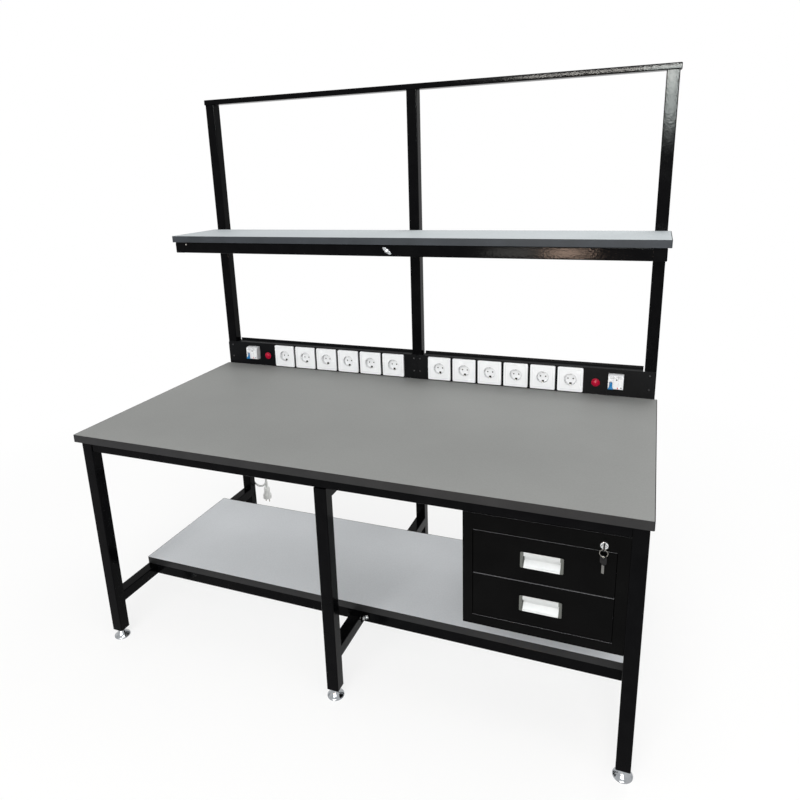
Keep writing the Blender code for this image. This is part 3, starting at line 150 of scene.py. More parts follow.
def finish(name, tones, mottle, rough, grain, relief, sockets=None):
    """A surface that wanders between two tones and two roughnesses over mottle mm, with a relief grain mm wide."""
    look = bpy.data.materials.new(name)
    look.use_nodes = True
    tree = look.node_tree
    shader = tree.nodes["Principled BSDF"]
    for socket, value in (sockets or {}).items():
        shader.inputs[socket].default_value = value
    place = add(tree, "TexCoord").outputs["Object"]
    cloud = add(tree, "TexNoise", {"Vector": place}, {"Scale": 1000.0 / mottle, "Detail": 4.0})
    spread = add(tree, "MapRange", {"Value": cloud.outputs["Fac"]}, {"From Min": CLOUD_LOW, "From Max": CLOUD_HIGH})
    tone = add(tree, "Mix", {0: spread.outputs[0]}, {6: linear(tones[0]), 7: linear(tones[1])}, data_type="RGBA")
    tree.links.new(tone.outputs[2], shader.inputs["Base Color"])
    gloss = add(tree, "MapRange", {"Value": cloud.outputs["Fac"]},
                {"From Min": CLOUD_LOW, "From Max": CLOUD_HIGH, "To Min": rough[0], "To Max": rough[1]})
    tree.links.new(gloss.outputs[0], shader.inputs["Roughness"])
    peel = add(tree, "TexNoise", {"Vector": place}, {"Scale": 1000.0 / grain, "Detail": 2.0})
    bump = add(tree, "Bump", {"Height": peel.outputs["Fac"]}, {"Strength": 1.0, "Distance": relief / 1000.0})
    tree.links.new(bump.outputs[0], shader.inputs["Normal"])
    return look


def hold(item):
    """Selects one piece and nothing else."""
    bpy.ops.object.select_all(action="DESELECT")
    item.select_set(True)
    bpy.context.view_layer.objects.active = item


def settle(item, look, body, slot, *stands_for):
    """Puts a piece's place into its mesh, smooths it, gives it its finish and fixes it to a body."""
    hold(item)
    bpy.ops.object.transform_apply(location=True, rotation=True, scale=True)
    bpy.ops.object.shade_smooth_by_angle(angle=CREASE)
    changed(item, "WEIGHTED_NORMAL", keep_sharp=True)
    item.data.materials.clear()
    item.data.materials.append(look)
    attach(item, body)
    if stands_for:
        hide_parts(*stands_for)
    return item


def lathe(name, rings, sides=48):
    """A round solid about +Z, drawn out from a disc through rings of (radius, height)."""
    bpy.ops.object.select_all(action="DESELECT")
    radius, height = rings[0]
    bpy.ops.mesh.primitive_circle_add(vertices=sides, radius=radius, fill_type="NGON", location=(0.0, 0.0, height))
    item = bpy.context.object
    item.name = name
    bpy.ops.object.transform_apply(location=True, rotation=True, scale=True)
    bpy.ops.object.mode_set(mode="EDIT")
    bpy.ops.mesh.select_all(action="SELECT")
    for wider, higher in rings[1:]:
        bpy.ops.mesh.extrude_region_move(TRANSFORM_OT_translate={"value": (0.0, 0.0, higher - height)})
        bpy.ops.transform.resize(value=(wider / radius, wider / radius, 1.0), center_override=(0.0, 0.0, higher))
        radius, height = wider, higher
    bpy.ops.mesh.select_all(action="SELECT")
    bpy.ops.mesh.normals_make_consistent(inside=False)
    bpy.ops.object.mode_set(mode="OBJECT")
    return item


def changed(item, kind, **settings):
    """Applies one modifier to a piece."""
    hold(item)
    change = item.modifiers.new(kind.lower(), kind)
    for name, setting in settings.items():
        setattr(change, name, setting)
    bpy.ops.object.modifier_apply(modifier=change.name)
    return item


def softened(node, name, width, segments=2):
    """A copy of a CAD node, its triangles joined into flat faces, its outer edges rounded and its inner ones crisp."""
    item = bpy.data.objects.new(name, nodes[node].data.copy())
    scene.collection.objects.link(item)
    hold(item)
    bpy.ops.object.mode_set(mode="EDIT")
    bpy.ops.mesh.select_all(action="SELECT")
    bpy.ops.mesh.remove_doubles(threshold=0.00002)
    bpy.ops.mesh.dissolve_limited(angle_limit=math.radians(1.0))
    bpy.ops.mesh.select_mode(type="EDGE")
    bpy.ops.mesh.select_all(action="DESELECT")
    shape = bmesh.from_edit_mesh(item.data)
    for edge in shape.edges:
        edge.select_set(edge.is_manifold and edge.is_convex and edge.calc_face_angle() > CREASE)
    bmesh.update_edit_mesh(item.data)
    bpy.ops.mesh.bevel(offset=width, segments=segments, affect="EDGES", clamp_overlap=True)
    bpy.ops.object.mode_set(mode="OBJECT")
    rounded = [float(face.select) for face in item.data.polygons]
    item.data.attributes.new("rounded_edge", "FLOAT", "FACE").data.foreach_set("value", rounded)
    bpy.ops.object.mode_set(mode="EDIT")
    bpy.ops.mesh.select_all(action="DESELECT")
    shape = bmesh.from_edit_mesh(item.data)
    shape.normal_update()
    for edge in shape.edges:
        edge.select_set(edge.is_manifold and not edge.is_convex and edge.calc_face_angle() > math.radians(3.0))
    bmesh.update_edit_mesh(item.data)
    bpy.ops.mesh.mark_sharp()
    bpy.ops.object.mode_set(mode="OBJECT")
    return item


GAP = 0.0003
CORD_RADIUS = 0.004
GLAND = Vector((-0.826, 0.4864, 0.854))
DROP_STRAIGHT = 0.010
DROP_BEND = 0.034
HANK_X = -0.835
HANK_HEIGHT = 0.2925
HANK_FIRST = 0.4774
HANK_PITCH = 0.0096
HANK_LOOPS = 4
HANK_WAIST = 0.012
HANK_RUN = 0.055
HANK_FOLD = 0.026
SLACK_RUN = 0.0855
SLACK_FOLD = 0.036
RUN_SHARE = 0.58
CLIMB_START = 0.36
CLIMB_SHARE = 0.28
BEND_STEPS = 14
LOOP_STEPS = 64
PLUG_X = -0.824
PLUG_TOP = 0.180


def smooth(points, count):
    """Points spaced evenly by parameter along a smooth curve through the given ones."""
    knots = [Vector(point) for point in points]
    knots = [knots[0] * 2 - knots[1]] + knots + [knots[-1] * 2 - knots[-2]]
    made = []
    spans = len(knots) - 3
    for number in range(count):
        place = spans * number / (count - 1)
        span = min(int(place), spans - 1)
        t = place - span
        a, b, c, d = knots[span:span + 4]
        square = 2 * a - 5 * b + 4 * c - d
        cube = 3 * b - a - 3 * c + d
        made.append(0.5 * (2 * b + (c - a) * t + square * t ** 2 + cube * t ** 3))
    return made


def loop_point(turns):
    """A point of the hank after so many turns, counted from the waist of the first right run, going down."""
    whole = math.floor(turns)
    part = turns - whole
    climb = min(max((part - CLIMB_START) / CLIMB_SHARE, 0.0), 1.0)
    layer = whole + climb * climb * (3.0 - 2.0 * climb)
    quarter = int(part * 4)
    step = part * 4 - quarter
    if quarter % 2:
        step = 1.0 - step
    slack = turns < 0.5
    run = SLACK_RUN if slack else HANK_RUN
    fold = SLACK_FOLD if slack else HANK_FOLD
    if step < RUN_SHARE:
        share = step / RUN_SHARE
        width = HANK_WAIST + (fold - HANK_WAIST) * share * share * (3.0 - 2.0 * share)
        height = run * share
    else:
        turn = (step - RUN_SHARE) / (1.0 - RUN_SHARE) * math.pi / 2
        width = fold * math.cos(turn)
        height = run + fold * math.sin(turn)
    side = width if quarter in (0, 3) else -width
    rise = -height if quarter < 2 else height
    return Vector((HANK_X + side, HANK_FIRST + layer * HANK_PITCH, HANK_HEIGHT + rise))


hank_last = HANK_FIRST + HANK_LOOPS * HANK_PITCH
hank_top = HANK_HEIGHT + HANK_RUN + HANK_FOLD + 3 * CORD_RADIUS
hank_in = HANK_X + HANK_WAIST
bend_turns = [math.pi / 2 * step / BEND_STEPS for step in range(BEND_STEPS + 1)]
drop_bend = [GLAND + Vector((0.0, DROP_STRAIGHT + DROP_BEND * math.sin(turn), -DROP_BEND * (1.0 - math.cos(turn))))
             for turn in bend_turns]
drop_fall = smooth([drop_bend[-1],
                    drop_bend[-1] - Vector((0.0, 0.0, 2 * DROP_BEND)),
                    (GLAND.x * 0.6 + hank_in * 0.4, GLAND.y + 0.028, GLAND.z - 0.200),
                    (GLAND.x * 0.2 + hank_in * 0.8, HANK_FIRST + 0.006, hank_top + 0.150),
                    (hank_in, HANK_FIRST, hank_top + 0.030),
                    (hank_in, HANK_FIRST, hank_top)], 40)
lead_in = smooth([(hank_in, HANK_FIRST, hank_top),
                  (hank_in, HANK_FIRST, hank_top - 2 * CORD_RADIUS),
                  (hank_in, HANK_FIRST, HANK_HEIGHT + HANK_RUN * 0.7),
                  loop_point(0.0)], 8)[1:-1]
loops = [loop_point(number / LOOP_STEPS) for number in range(HANK_LOOPS * LOOP_STEPS + 1)]
tail = smooth([loops[-1],
               (hank_in * 0.8 + PLUG_X * 0.2, hank_last, HANK_HEIGHT - 0.025),
               (PLUG_X, hank_last, PLUG_TOP + 0.030),
               (PLUG_X, hank_last, PLUG_TOP + 2 * CORD_RADIUS + GAP),
               (PLUG_X, hank_last, PLUG_TOP + GAP)], 16)[1:]
lead_exit = GLAND + Vector((0.0, GAP, 0.0))
lead_route = [lead_exit] + drop_bend + drop_fall[1:] + lead_in + loops + tail

# PVC flex sheath: extruded, pale grey, soft sheen, with a slow waviness from the twisted cores inside.
flex_sheath = finish("pvc_flex_sheath", ("#BFC0BE", "#D6D7D5"), 22.0, (0.38, 0.50), 3.0, 0.05,
                     {"IOR": 1.52, "Specular IOR Level": 0.5})
curve = bpy.data.curves.new("mains_lead", "CURVE")
curve.dimensions = "3D"
curve.bevel_depth = CORD_RADIUS
curve.bevel_resolution = 4
curve.use_fill_caps = True
line = curve.splines.new("POLY")
line.points.add(len(lead_route) - 1)
for point, place in zip(line.points, lead_route):
    point.co = (*place, 1.0)
line.use_smooth = True
mains_lead = bpy.data.objects.new("mains_lead", curve)
scene.collection.objects.link(mains_lead)
mains_lead.data.materials.append(flex_sheath)
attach(mains_lead, "bench")
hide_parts("cord_drop", "cord_hank")

# Moulded nylon: matt black with a fine spark-eroded grain, for the gland, the tie and the caps.
black_nylon = finish("moulded_black_nylon", ("#101011", "#181819"), 9.0, (0.42, 0.58), 0.9, 0.03,
                     {"IOR": 1.53, "Specular IOR Level": 0.15})
gland = settle(softened("cable_gland", "gland", 0.0007), black_nylon, "bench", "black_plastic", "cable_gland")
hank_tie = settle(softened("hank_tie", "hank_strap", 0.0004), black_nylon, "bench", "black_plastic", "hank_tie")

# White PVC plug: a ribbed strain relief runs into a waisted grip and a round nose with two plated pins.
plug_white = finish("moulded_white_pvc", ("#F0F1EF", "#F6F7F5"), 14.0, (0.32, 0.44), 1.2, 0.03, {"IOR": 1.52})
PLUG_NOSE = 0.0890
PIN_OFFSET = 0.0095
RIB_PITCH = 0.0042
plug_rings = [(0.0054, 0.0)]
for rib in range(6):
    rib_top = -0.0030 - rib * RIB_PITCH
    plug_rings += [(0.0056, rib_top), (0.0066, rib_top - 0.0004),
                   (0.0066, rib_top - 0.0024), (0.0056, rib_top - 0.0028)]
plug_rings += [(0.0064, -0.0290), (0.0110, -0.0310), (0.0144, -0.0367), (0.0138, -0.0450), (0.0132, -0.0560),
               (0.0150, -0.0620), (0.0185, -0.0665), (0.0198, -0.0690), (0.0200, -0.0720), (0.0200, -0.0870),
               (0.0196, -0.0884), (0.0188, -PLUG_NOSE)]
mains_plug = lathe("plug_body", plug_rings, 56)
mains_plug.location = (PLUG_X, hank_last, PLUG_TOP)
settle(mains_plug, plug_white, "bench", "grey_plastic", "mains_plug")
# Nickel: plated over turned brass, a warm, slightly clouded mirror.
nickel = finish("nickel_plate", ("#A8A59E", "#C2BFB7"), 6.0, (0.18, 0.30), 0.8, 0.01, {"Metallic": 1.0})
for side in (-1, 1):
    pin = lathe("plug_pin_%s" % ("left" if side < 0 else "right"),
                [(0.0024, 0.002), (0.0024, -0.0160), (0.0021, -0.0180), (0.0014, -0.0189)], 24)
    pin.location = (PLUG_X + side * PIN_OFFSET, hank_last, PLUG_TOP - PLUG_NOSE)
    settle(pin, nickel, "bench", "grey_plastic")

# Welded frames: three frames of 40 mm square steel tube with rounded corners, welded, ground flush at the sides and
# powder-coated black. Beads of weld stay on top of the ties and under them, where no grinder reaches.


def joined(items, name):
    """Makes one piece of several."""
    bpy.ops.object.select_all(action="DESELECT")
    for item in items:
        item.select_set(True)
    bpy.context.view_layer.objects.active = items[0]
    bpy.ops.object.join()
    items[0].name = name
    return items[0]


def copied(item, name, shift):
    """A copy of a piece with its own mesh, moved by shift."""
    twin = bpy.data.objects.new(name, item.data.copy())
    twin.data.transform(Matrix.Translation(shift))
    scene.collection.objects.link(twin)
    return twin


# Black powder coat: baked polyester, semi-gloss, with a fine orange peel that breaks up what it mirrors. The real
# peel is about 1 mm wide and is drawn at 6 mm so that it shows.
powder_coat = finish("baked_black_powder_coat", ("#040405", "#080809"), 45.0, (0.08, 0.12), 6.0, 0.16,
                     {"IOR": 1.5, "Specular IOR Level": 0.035})
END_X = 0.871
LEG_REAR = -0.4024
POST_FRONT = 0.4239
TIE_UNDERSIDE = 0.1387
TIE_TOP = 0.1787
ARM_UNDERSIDE = 1.3303
BEAD_PITCH = 0.003
bead_rings = [(0.0006, -0.0186)]
for ripple in range(12):
    bead_rings += [(0.0017, -0.0180 + ripple * BEAD_PITCH), (0.0022, -0.0165 + ripple * BEAD_PITCH)]
bead_rings += [(0.0006, 0.0186)]
bead = lathe("weld_bead", bead_rings, 12)
bead.data.transform(Matrix.Rotation(math.pi / 2, 4, "Y"))
for node, x, top_tie in (("left_end_frame", -END_X, 0.7387), ("centre_frame", 0.0, 0.6984),
                         ("right_end_frame", END_X, 0.7387)):
    settle(softened(node, node + "_tubes", 0.0010), powder_coat, "bench", "black_powder_coat", node)
    beads = [copied(bead, "bead", (x, y, height))
             for y in (LEG_REAR, POST_FRONT) for height in (TIE_UNDERSIDE, TIE_TOP, top_tie)]
    beads.append(copied(bead, "bead", (x, POST_FRONT, ARM_UNDERSIDE)))
    settle(joined(beads, node + "_welds"), powder_coat, "bench", "black_powder_coat")
bpy.data.objects.remove(bead)

# Rails: the aprons, the shelf's four rails, the upper shelf's beam and the top rail are cut from tube and coated.
# They fit between the frames on thin plastic shims, and angle lugs bolt the shelf's rails to the centre frame.
# The top rail is flat tube with a plastic plug in each end.
for node in ("front_apron", "rear_apron", "front_shelf_rail_left", "front_shelf_rail_right", "rear_shelf_rail_left",
             "rear_shelf_rail_right", "top_rail", "shelf_beam"):
    settle(softened(node, node + "_tube", 0.0010), powder_coat, "bench", "black_powder_coat", node)


def block(name, low, high):
    """A box between two corners, to be shaped further."""
    bpy.ops.object.select_all(action="DESELECT")
    middle = [(a + b) / 2 for a, b in zip(low, high)]
    bpy.ops.mesh.primitive_cube_add(size=1.0, location=middle, scale=[b - a for a, b in zip(low, high)])
    item = bpy.context.object
    item.name = name
    bpy.ops.object.transform_apply(location=True, rotation=True, scale=True)
    return item


def pick(item, test):
    """Opens a piece in edit mode with the faces selected whose centre and normal pass a test."""
    hold(item)
    bpy.ops.object.mode_set(mode="EDIT")
    bpy.ops.mesh.select_mode(type="FACE")
    bpy.ops.mesh.select_all(action="DESELECT")
    shape = bmesh.from_edit_mesh(item.data)
    shape.normal_update()
    for face in shape.faces:
        face.select_set(test(face.calc_center_median(), face.normal))
    bmesh.update_edit_mesh(item.data)


forward = Matrix.Rotation(math.pi / 2, 4, "X")
FRAME_INNER = 0.8507
CENTRE_SIDE = 0.0200
SHIM = 0.0003
SHIM_HALF = 0.018
LUG_THICK = 0.0030
LUG_REACH = 0.017
LUG_HEIGHT = 0.1610
BOLT_INSET = 0.0118
CAP_INNER = 0.8941
CAP_OUTER = 0.8956
beam_screw = lathe("beam_screw", [(0.0028, -0.0004), (0.0030, 0.0004), (0.0025, 0.0011), (0.0014, 0.0015)], 28)
beam_screw.data.transform(Matrix.Translation((-0.8420, 0.1456, 1.3620)) @ forward)
settle(beam_screw, nickel, "bench", "chrome")
shims = []
for y, z, ends in ((-0.4184, 0.7587, (FRAME_INNER,)), (0.4018, 0.7587, (FRAME_INNER,)),
                   (0.1656, 1.3503, (FRAME_INNER,)), (-0.2074, 0.1587, (CENTRE_SIDE, FRAME_INNER)),
                   (0.2456, 0.1587, (CENTRE_SIDE, FRAME_INNER))):
    for near in ends:
        for side in (-1, 1):
            low, high = sorted((side * near, side * (near + SHIM)))
            shims.append(block("shim", (low, y - SHIM_HALF, z - SHIM_HALF), (high, y + SHIM_HALF, z + SHIM_HALF)))
shims.append(block("shim", (FRAME_INNER, -0.4370, 0.3980), (FRAME_INNER + SHIM, -0.4050, 0.7370)))
shims = changed(joined(shims, "joint_shims"), "BEVEL", width=0.0001, segments=1)
settle(shims, black_nylon, "bench", "black_plastic")

# Bright zinc: barrel-plated bolt heads, cool and slightly cloudy.
bright_zinc = finish("bright_zinc_plate", ("#8C8E90", "#A8AAAC"), 4.0, (0.30, 0.42), 1.0, 0.01, {"Metallic": 0.4})
lug = block("rail_lug", (0.0, -LUG_THICK, -0.0120), (LUG_THICK, 0.0, 0.0120))
for way in (Vector((1.0, 0.0, 0.0)), Vector((0.0, -1.0, 0.0))):
    pick(lug, lambda centre, normal: normal.dot(way) > 0.9 and max(centre.x, -centre.y) < LUG_THICK + 0.0001)
    bpy.ops.mesh.extrude_region_move(TRANSFORM_OT_translate={"value": way * LUG_REACH})
    bpy.ops.object.mode_set(mode="OBJECT")
changed(lug, "BEVEL", width=0.0010, segments=2, limit_method="ANGLE")
heads = []
for place, turn in (((LUG_THICK, -BOLT_INSET, 0.0), Matrix.Rotation(math.pi / 2, 4, "Y")),
                    ((BOLT_INSET, -LUG_THICK, 0.0), forward)):
    washer = lathe("washer", [(0.0062, 0.0), (0.0066, 0.0003), (0.0066, 0.0011), (0.0062, 0.0014)], 32)
    head = lathe("head", [(0.0056, 0.0010), (0.0058, 0.0014), (0.0058, 0.0050), (0.0048, 0.0056)], 6)
    for item in (washer, head):
        item.data.transform(Matrix.Translation(place) @ turn)
        heads.append(item)
bolts = joined(heads, "lug_bolts")
for row, y, behind in (("front", -0.2276, 0.0), ("rear", 0.2658, math.pi)):
    for column, x, beyond in (("left", -CENTRE_SIDE, math.pi), ("right", CENTRE_SIDE, 0.0)):
        turned = Matrix.Rotation(behind, 4, "X") @ Matrix.Rotation(beyond, 4, "Y")
        for model, look, slot in ((lug, powder_coat, "black_powder_coat"), (bolts, bright_zinc, "chrome")):
            twin = copied(model, "%s_%s_%s" % (row, column, model.name), (0.0, 0.0, 0.0))
            twin.data.transform(Matrix.Translation((x, y, LUG_HEIGHT)) @ turned)
            settle(twin, look if column == "right" else powder_coat, "bench", slot)
for model in (lug, bolts):
    bpy.data.objects.remove(model)
for side, name in ((-1, "left"), (1, "right")):
    low, high = sorted((side * CAP_INNER, side * CAP_OUTER))
    cap = block("top_rail_cap_" + name, (low, 0.4249, 1.8940), (high, 0.4629, 1.9120))
    pick(cap, lambda centre, normal: normal.x * side > 0.9)
    bpy.ops.mesh.inset(thickness=0.002)
    bpy.ops.transform.translate(value=(side * 0.0006, 0.0, 0.0))
    bpy.ops.object.mode_set(mode="OBJECT")
    changed(cap, "BEVEL", width=0.0005, segments=2, limit_method="ANGLE")
    settle(cap, black_nylon, "bench", "black_plastic")

# Boards: particleboard faced on both sides with an anti-static laminate, screwed to the frames from below. A 2 mm
# plastic band is glued round each edge, flush with the faces.


FLECK = 5.0


def laminate(name, tones, rough):
    """A pressed decorative laminate: a fine fleck under a satin overlay, with broad faint clouds."""
    look = finish(name, tones, 260.0, rough, 4.0, 0.004, {"IOR": 1.52, "Specular IOR Level": 0.18})
    tree = look.node_tree
    shader = tree.nodes["Principled BSDF"]
    tone = shader.inputs["Base Color"].links[0].from_socket
    place = add(tree, "TexCoord").outputs["Object"]
    fleck = add(tree, "TexNoise", {"Vector": place}, {"Scale": 1000.0 / FLECK, "Detail": 3.0, "Roughness": 0.7})
    depth = add(tree, "MapRange", {"Value": fleck.outputs["Fac"]},
                {"From Min": 0.3, "From Max": 0.7, "To Min": 0.96, "To Max": 1.04})
    both = add(tree, "VectorMath", {0: tone, 1: depth.outputs[0]}, operation="MULTIPLY")
    tree.links.new(both.outputs[0], shader.inputs["Base Color"])
    return look


# Anti-static laminate: melamine-pressed paper, mid grey with a fleck about 1 mm across, drawn at 5 mm so that it
# shows; satin, so bright things behind it blur. The shelves' laminate is the same sheet in paler greys.
grey_laminate = laminate("pressed_grey_laminate", ("#868785", "#8C8D8B"), (0.56, 0.62))
# Painted light and shade: both shelves are one laminate. The lower is painted paler against the shade under the
# worktop, and the upper darker against the light that falls on it.
lower_shelf_painted_light_laminate = laminate("pressed_pale_grey_laminate", ("#DADDE0", "#E0E3E6"), (0.56, 0.62))
upper_shelf_painted_shade_laminate = laminate("pressed_light_grey_laminate", ("#B0B6B9", "#B8BEC0"), (0.56, 0.62))
# Edge band: extruded ABS, hot-glued and scraped, a little waxy; dark on the lower boards, mid grey on the upper one.
dark_band = finish("extruded_dark_abs_band", ("#161617", "#1C1C1D"), 60.0, (0.42, 0.50), 2.5, 0.006,
                   {"IOR": 1.53, "Specular IOR Level": 0.2})
grey_band = finish("extruded_grey_abs_band", ("#323538", "#383B3F"), 60.0, (0.42, 0.50), 2.5, 0.006,
                   {"IOR": 1.53, "Specular IOR Level": 0.05})
for board, face, band, band_slot in (
        ("worktop", grey_laminate, dark_band, "edge_band"),
        ("lower_shelf", lower_shelf_painted_light_laminate, dark_band, "edge_band"),
        ("upper_shelf", upper_shelf_painted_shade_laminate, grey_band, "grey_edge_band")):
    nodes[board + "_board"].data.materials.clear()
    nodes[board + "_board"].data.materials.append(face)
    settle(softened(board + "_edge_band", board + "_banding", 0.0006), band, "bench", band_slot, board + "_edge_band")

# Levelling feet: a drawn steel bell pressed over a rubber pad, with a swaged stud that screws into the leg and a
# locknut above it, all chromium-plated.

# Bright chrome: plated over polished steel, cold white, nearly a mirror, with faint clouding from handling.
# Painted reflection: these chrome tones are darker than plated steel, standing in for the dark things it would mirror.
chrome = finish("bright_chrome_plate", ("#8E9194", "#B4B7BA"), 14.0, (0.06, 0.13), 6.0, 0.01, {"Metallic": 1.0})
# Foot rubber: moulded, matt, near black.
foot_rubber = finish("moulded_foot_rubber", ("#121212", "#1C1C1C"), 8.0, (0.75, 0.88), 1.5, 0.05, {"IOR": 1.5})
bell = lathe("foot_bell", [(0.0240, 0.0006), (0.0266, 0.0008), (0.0272, 0.0016), (0.0272, 0.0040), (0.0269, 0.0050),
                           (0.0258, 0.0062), (0.0235, 0.0080), (0.0205, 0.0105), (0.0176, 0.0136), (0.0150, 0.0172),
                           (0.0128, 0.0210), (0.0110, 0.0245), (0.0098, 0.0268), (0.0094, 0.0278), (0.0086, 0.0284),
                           (0.0052, 0.0286), (0.0052, 0.0700)], 64)
nut = lathe("foot_nut", [(0.0072, 0.0288), (0.0090, 0.0294), (0.0090, 0.0330), (0.0072, 0.0336)], 6)
pad = lathe("foot_pad", [(0.0225, 0.0), (0.0238, 0.0002), (0.0243, 0.0007), (0.0243, 0.0020), (0.0200, 0.0024)], 48)
for row, y in (("front", -0.4224), ("rear", 0.4439)):
    for column, x in (("left", -END_X), ("centre", 0.0), ("right", END_X)):
        node = "foot_%s_%s" % (row, column)
        metal = joined([copied(bell, "bell", (x, y, 0.0)), copied(nut, "nut", (x, y, 0.0))], node + "_bell")
        settle(metal, chrome, node, "chrome", node)
        settle(copied(pad, node + "_pad", (x, y, 0.0)), foot_rubber, node, "chrome")
for model in (bell, nut, pad):
    bpy.data.objects.remove(model)

# Socket trunks: folded sheet-steel channels, coated black and screwed to the posts. Cross-head screws hold each front
# panel at its ends, and a bead of black mastic closes the joint with the worktop.

# Trunk coat: the same polyester powder as on the tubes, but more matt. Its 0.5 mm texture is drawn at 2.5 mm.
trunk_coat = finish("baked_matt_black_coat", ("#060709", "#0A0B0D"), 60.0, (0.38, 0.46), 2.5, 0.010,
                    {"IOR": 1.5, "Specular IOR Level": 0.07})
for node in ("left_trunk", "right_trunk"):
    settle(softened(node, node + "_sheet", 0.0005), trunk_coat, "bench", "trunk_coat", node)
mastic = block("trunk_mastic", (-0.8900, 0.4212, 0.8040), (0.8900, 0.4224, 0.8050))
settle(changed(mastic, "BEVEL", width=0.0004, segments=2), black_nylon, "bench", "black_plastic")
TRUNK_FRONT = 0.4221
RECESS_TURN = 0.4
screw = lathe("panel_screw", [(0.0034, 0.0), (0.0035, 0.0006), (0.0033, 0.0013), (0.0026, 0.0019),
                              (0.0014, 0.0022)], 28)
for turn in (RECESS_TURN, RECESS_TURN + math.pi / 2):
    blade = block("screw_recess", (-0.0018, -0.0004, 0.0012), (0.0018, 0.0004, 0.0030))
    blade.data.transform(Matrix.Rotation(turn, 4, "Z"))
    changed(screw, "BOOLEAN", operation="DIFFERENCE", object=blade)
    bpy.data.objects.remove(blade)
screw.data.transform(forward)
# Black zinc: chromated screw heads, dark, with a dull metal glint on the rim.
black_zinc = finish("black_zinc_plate", ("#2A2A2C", "#3C3C3E"), 5.0, (0.28, 0.40), 1.0, 0.01, {"Metallic": 0.8})
for side, trunk in ((-1, "left_trunk"), (1, "right_trunk")):
    screws = [copied(screw, "screw", (side * x, TRUNK_FRONT, z)) for x in (0.870, 0.0125) for z in (0.836, 0.888)]
    settle(joined(screws, trunk + "_screws"), black_zinc, "bench", "trunk_coat")
bpy.data.objects.remove(screw)

# Socket outlets: twelve moulded 92 mm plates with a raised rim, each with a round earthed well, a guide rib on either
# side, sprung earth clips above and below and two contact holes. Each is clipped through a hole in the trunk.

# Socket plastic: moulded urea, bright white, glossy and nearly even. The well is a softer, more matt moulding,
# painted a little greyer as shade in its hollow, and its brass contacts are painted near black as shade in the holes.
socket_white = finish("moulded_white_urea", ("#DDDEDF", "#E1E2E3"), 30.0, (0.25, 0.28), 1.5, 0.004, {"IOR": 1.54})
well_painted_shade = finish("moulded_grey_white_polyamide", ("#D5D6D7", "#DADBDC"), 9.0, (0.34, 0.42), 1.2, 0.01,
                    {"IOR": 1.53})
# Painted shade: the brass contacts and the backs of the clip slots are near black, so that the holes read dark.
contact_painted_shade = finish("brass_painted_shade", ("#15130F", "#221E17"), 2.0, (0.55, 0.70), 0.6, 0.01,
                      {"Specular IOR Level": 0.2})
PLATE = 0.0916
PLATE_REAR = 0.4218
SOCKET_HEIGHT = 0.8545
SOCKET_PITCH = 0.1007
CONTACT_OFFSET = 0.0095
TONGUE_FOOT = 0.0215
half = PLATE / 2
plate = block("plate", (-half, -0.0080, -half), (half, 0.0, half))
pick(plate, lambda centre, normal: False)
bpy.ops.mesh.select_mode(type="EDGE")
shape = bmesh.from_edit_mesh(plate.data)
for edge in shape.edges:
    edge.select_set(abs(edge.verts[0].co.y - edge.verts[1].co.y) > 0.004)
bmesh.update_edit_mesh(plate.data)
bpy.ops.mesh.bevel(offset=0.0045, segments=5, affect="EDGES")
bpy.ops.object.mode_set(mode="OBJECT")
pick(plate, lambda centre, normal: normal.y < -0.9)
for size, sink in ((0.0384, 0.0), (0.0378, 0.0012), (0.0373, 0.0), (0.0367, -0.0006)):
    bpy.ops.mesh.extrude_region_move(TRANSFORM_OT_translate={"value": (0.0, sink, 0.0)})
    bpy.ops.transform.resize(value=(size / half, 1.0, size / half), center_override=(0.0, 0.0, 0.0))
    half = size
bpy.ops.object.mode_set(mode="OBJECT")
changed(plate, "BEVEL", width=0.0011, segments=3, limit_method="ANGLE", angle_limit=math.radians(70.0))
housing = lathe("housing", [(0.0278, -0.0220), (0.0290, -0.0208), (0.0290, 0.0030)], 64)
opening = lathe("opening", [(0.0228, -0.0100), (0.0228, 0.0200)], 64)
for tool, operation in ((housing, "UNION"), (opening, "DIFFERENCE")):
    tool.data.transform(forward)
    changed(plate, "BOOLEAN", operation=operation, object=tool)
    bpy.data.objects.remove(tool)
well = lathe("well", [(0.0226, -0.0098), (0.0226, 0.0072), (0.0224, 0.0080), (0.0219, 0.0081), (0.0215, 0.0075),
                      (0.0213, 0.0060), (0.0212, -0.0066), (0.0206, -0.0074)], 64)
well.data.transform(forward)
contacts = []
clips = []
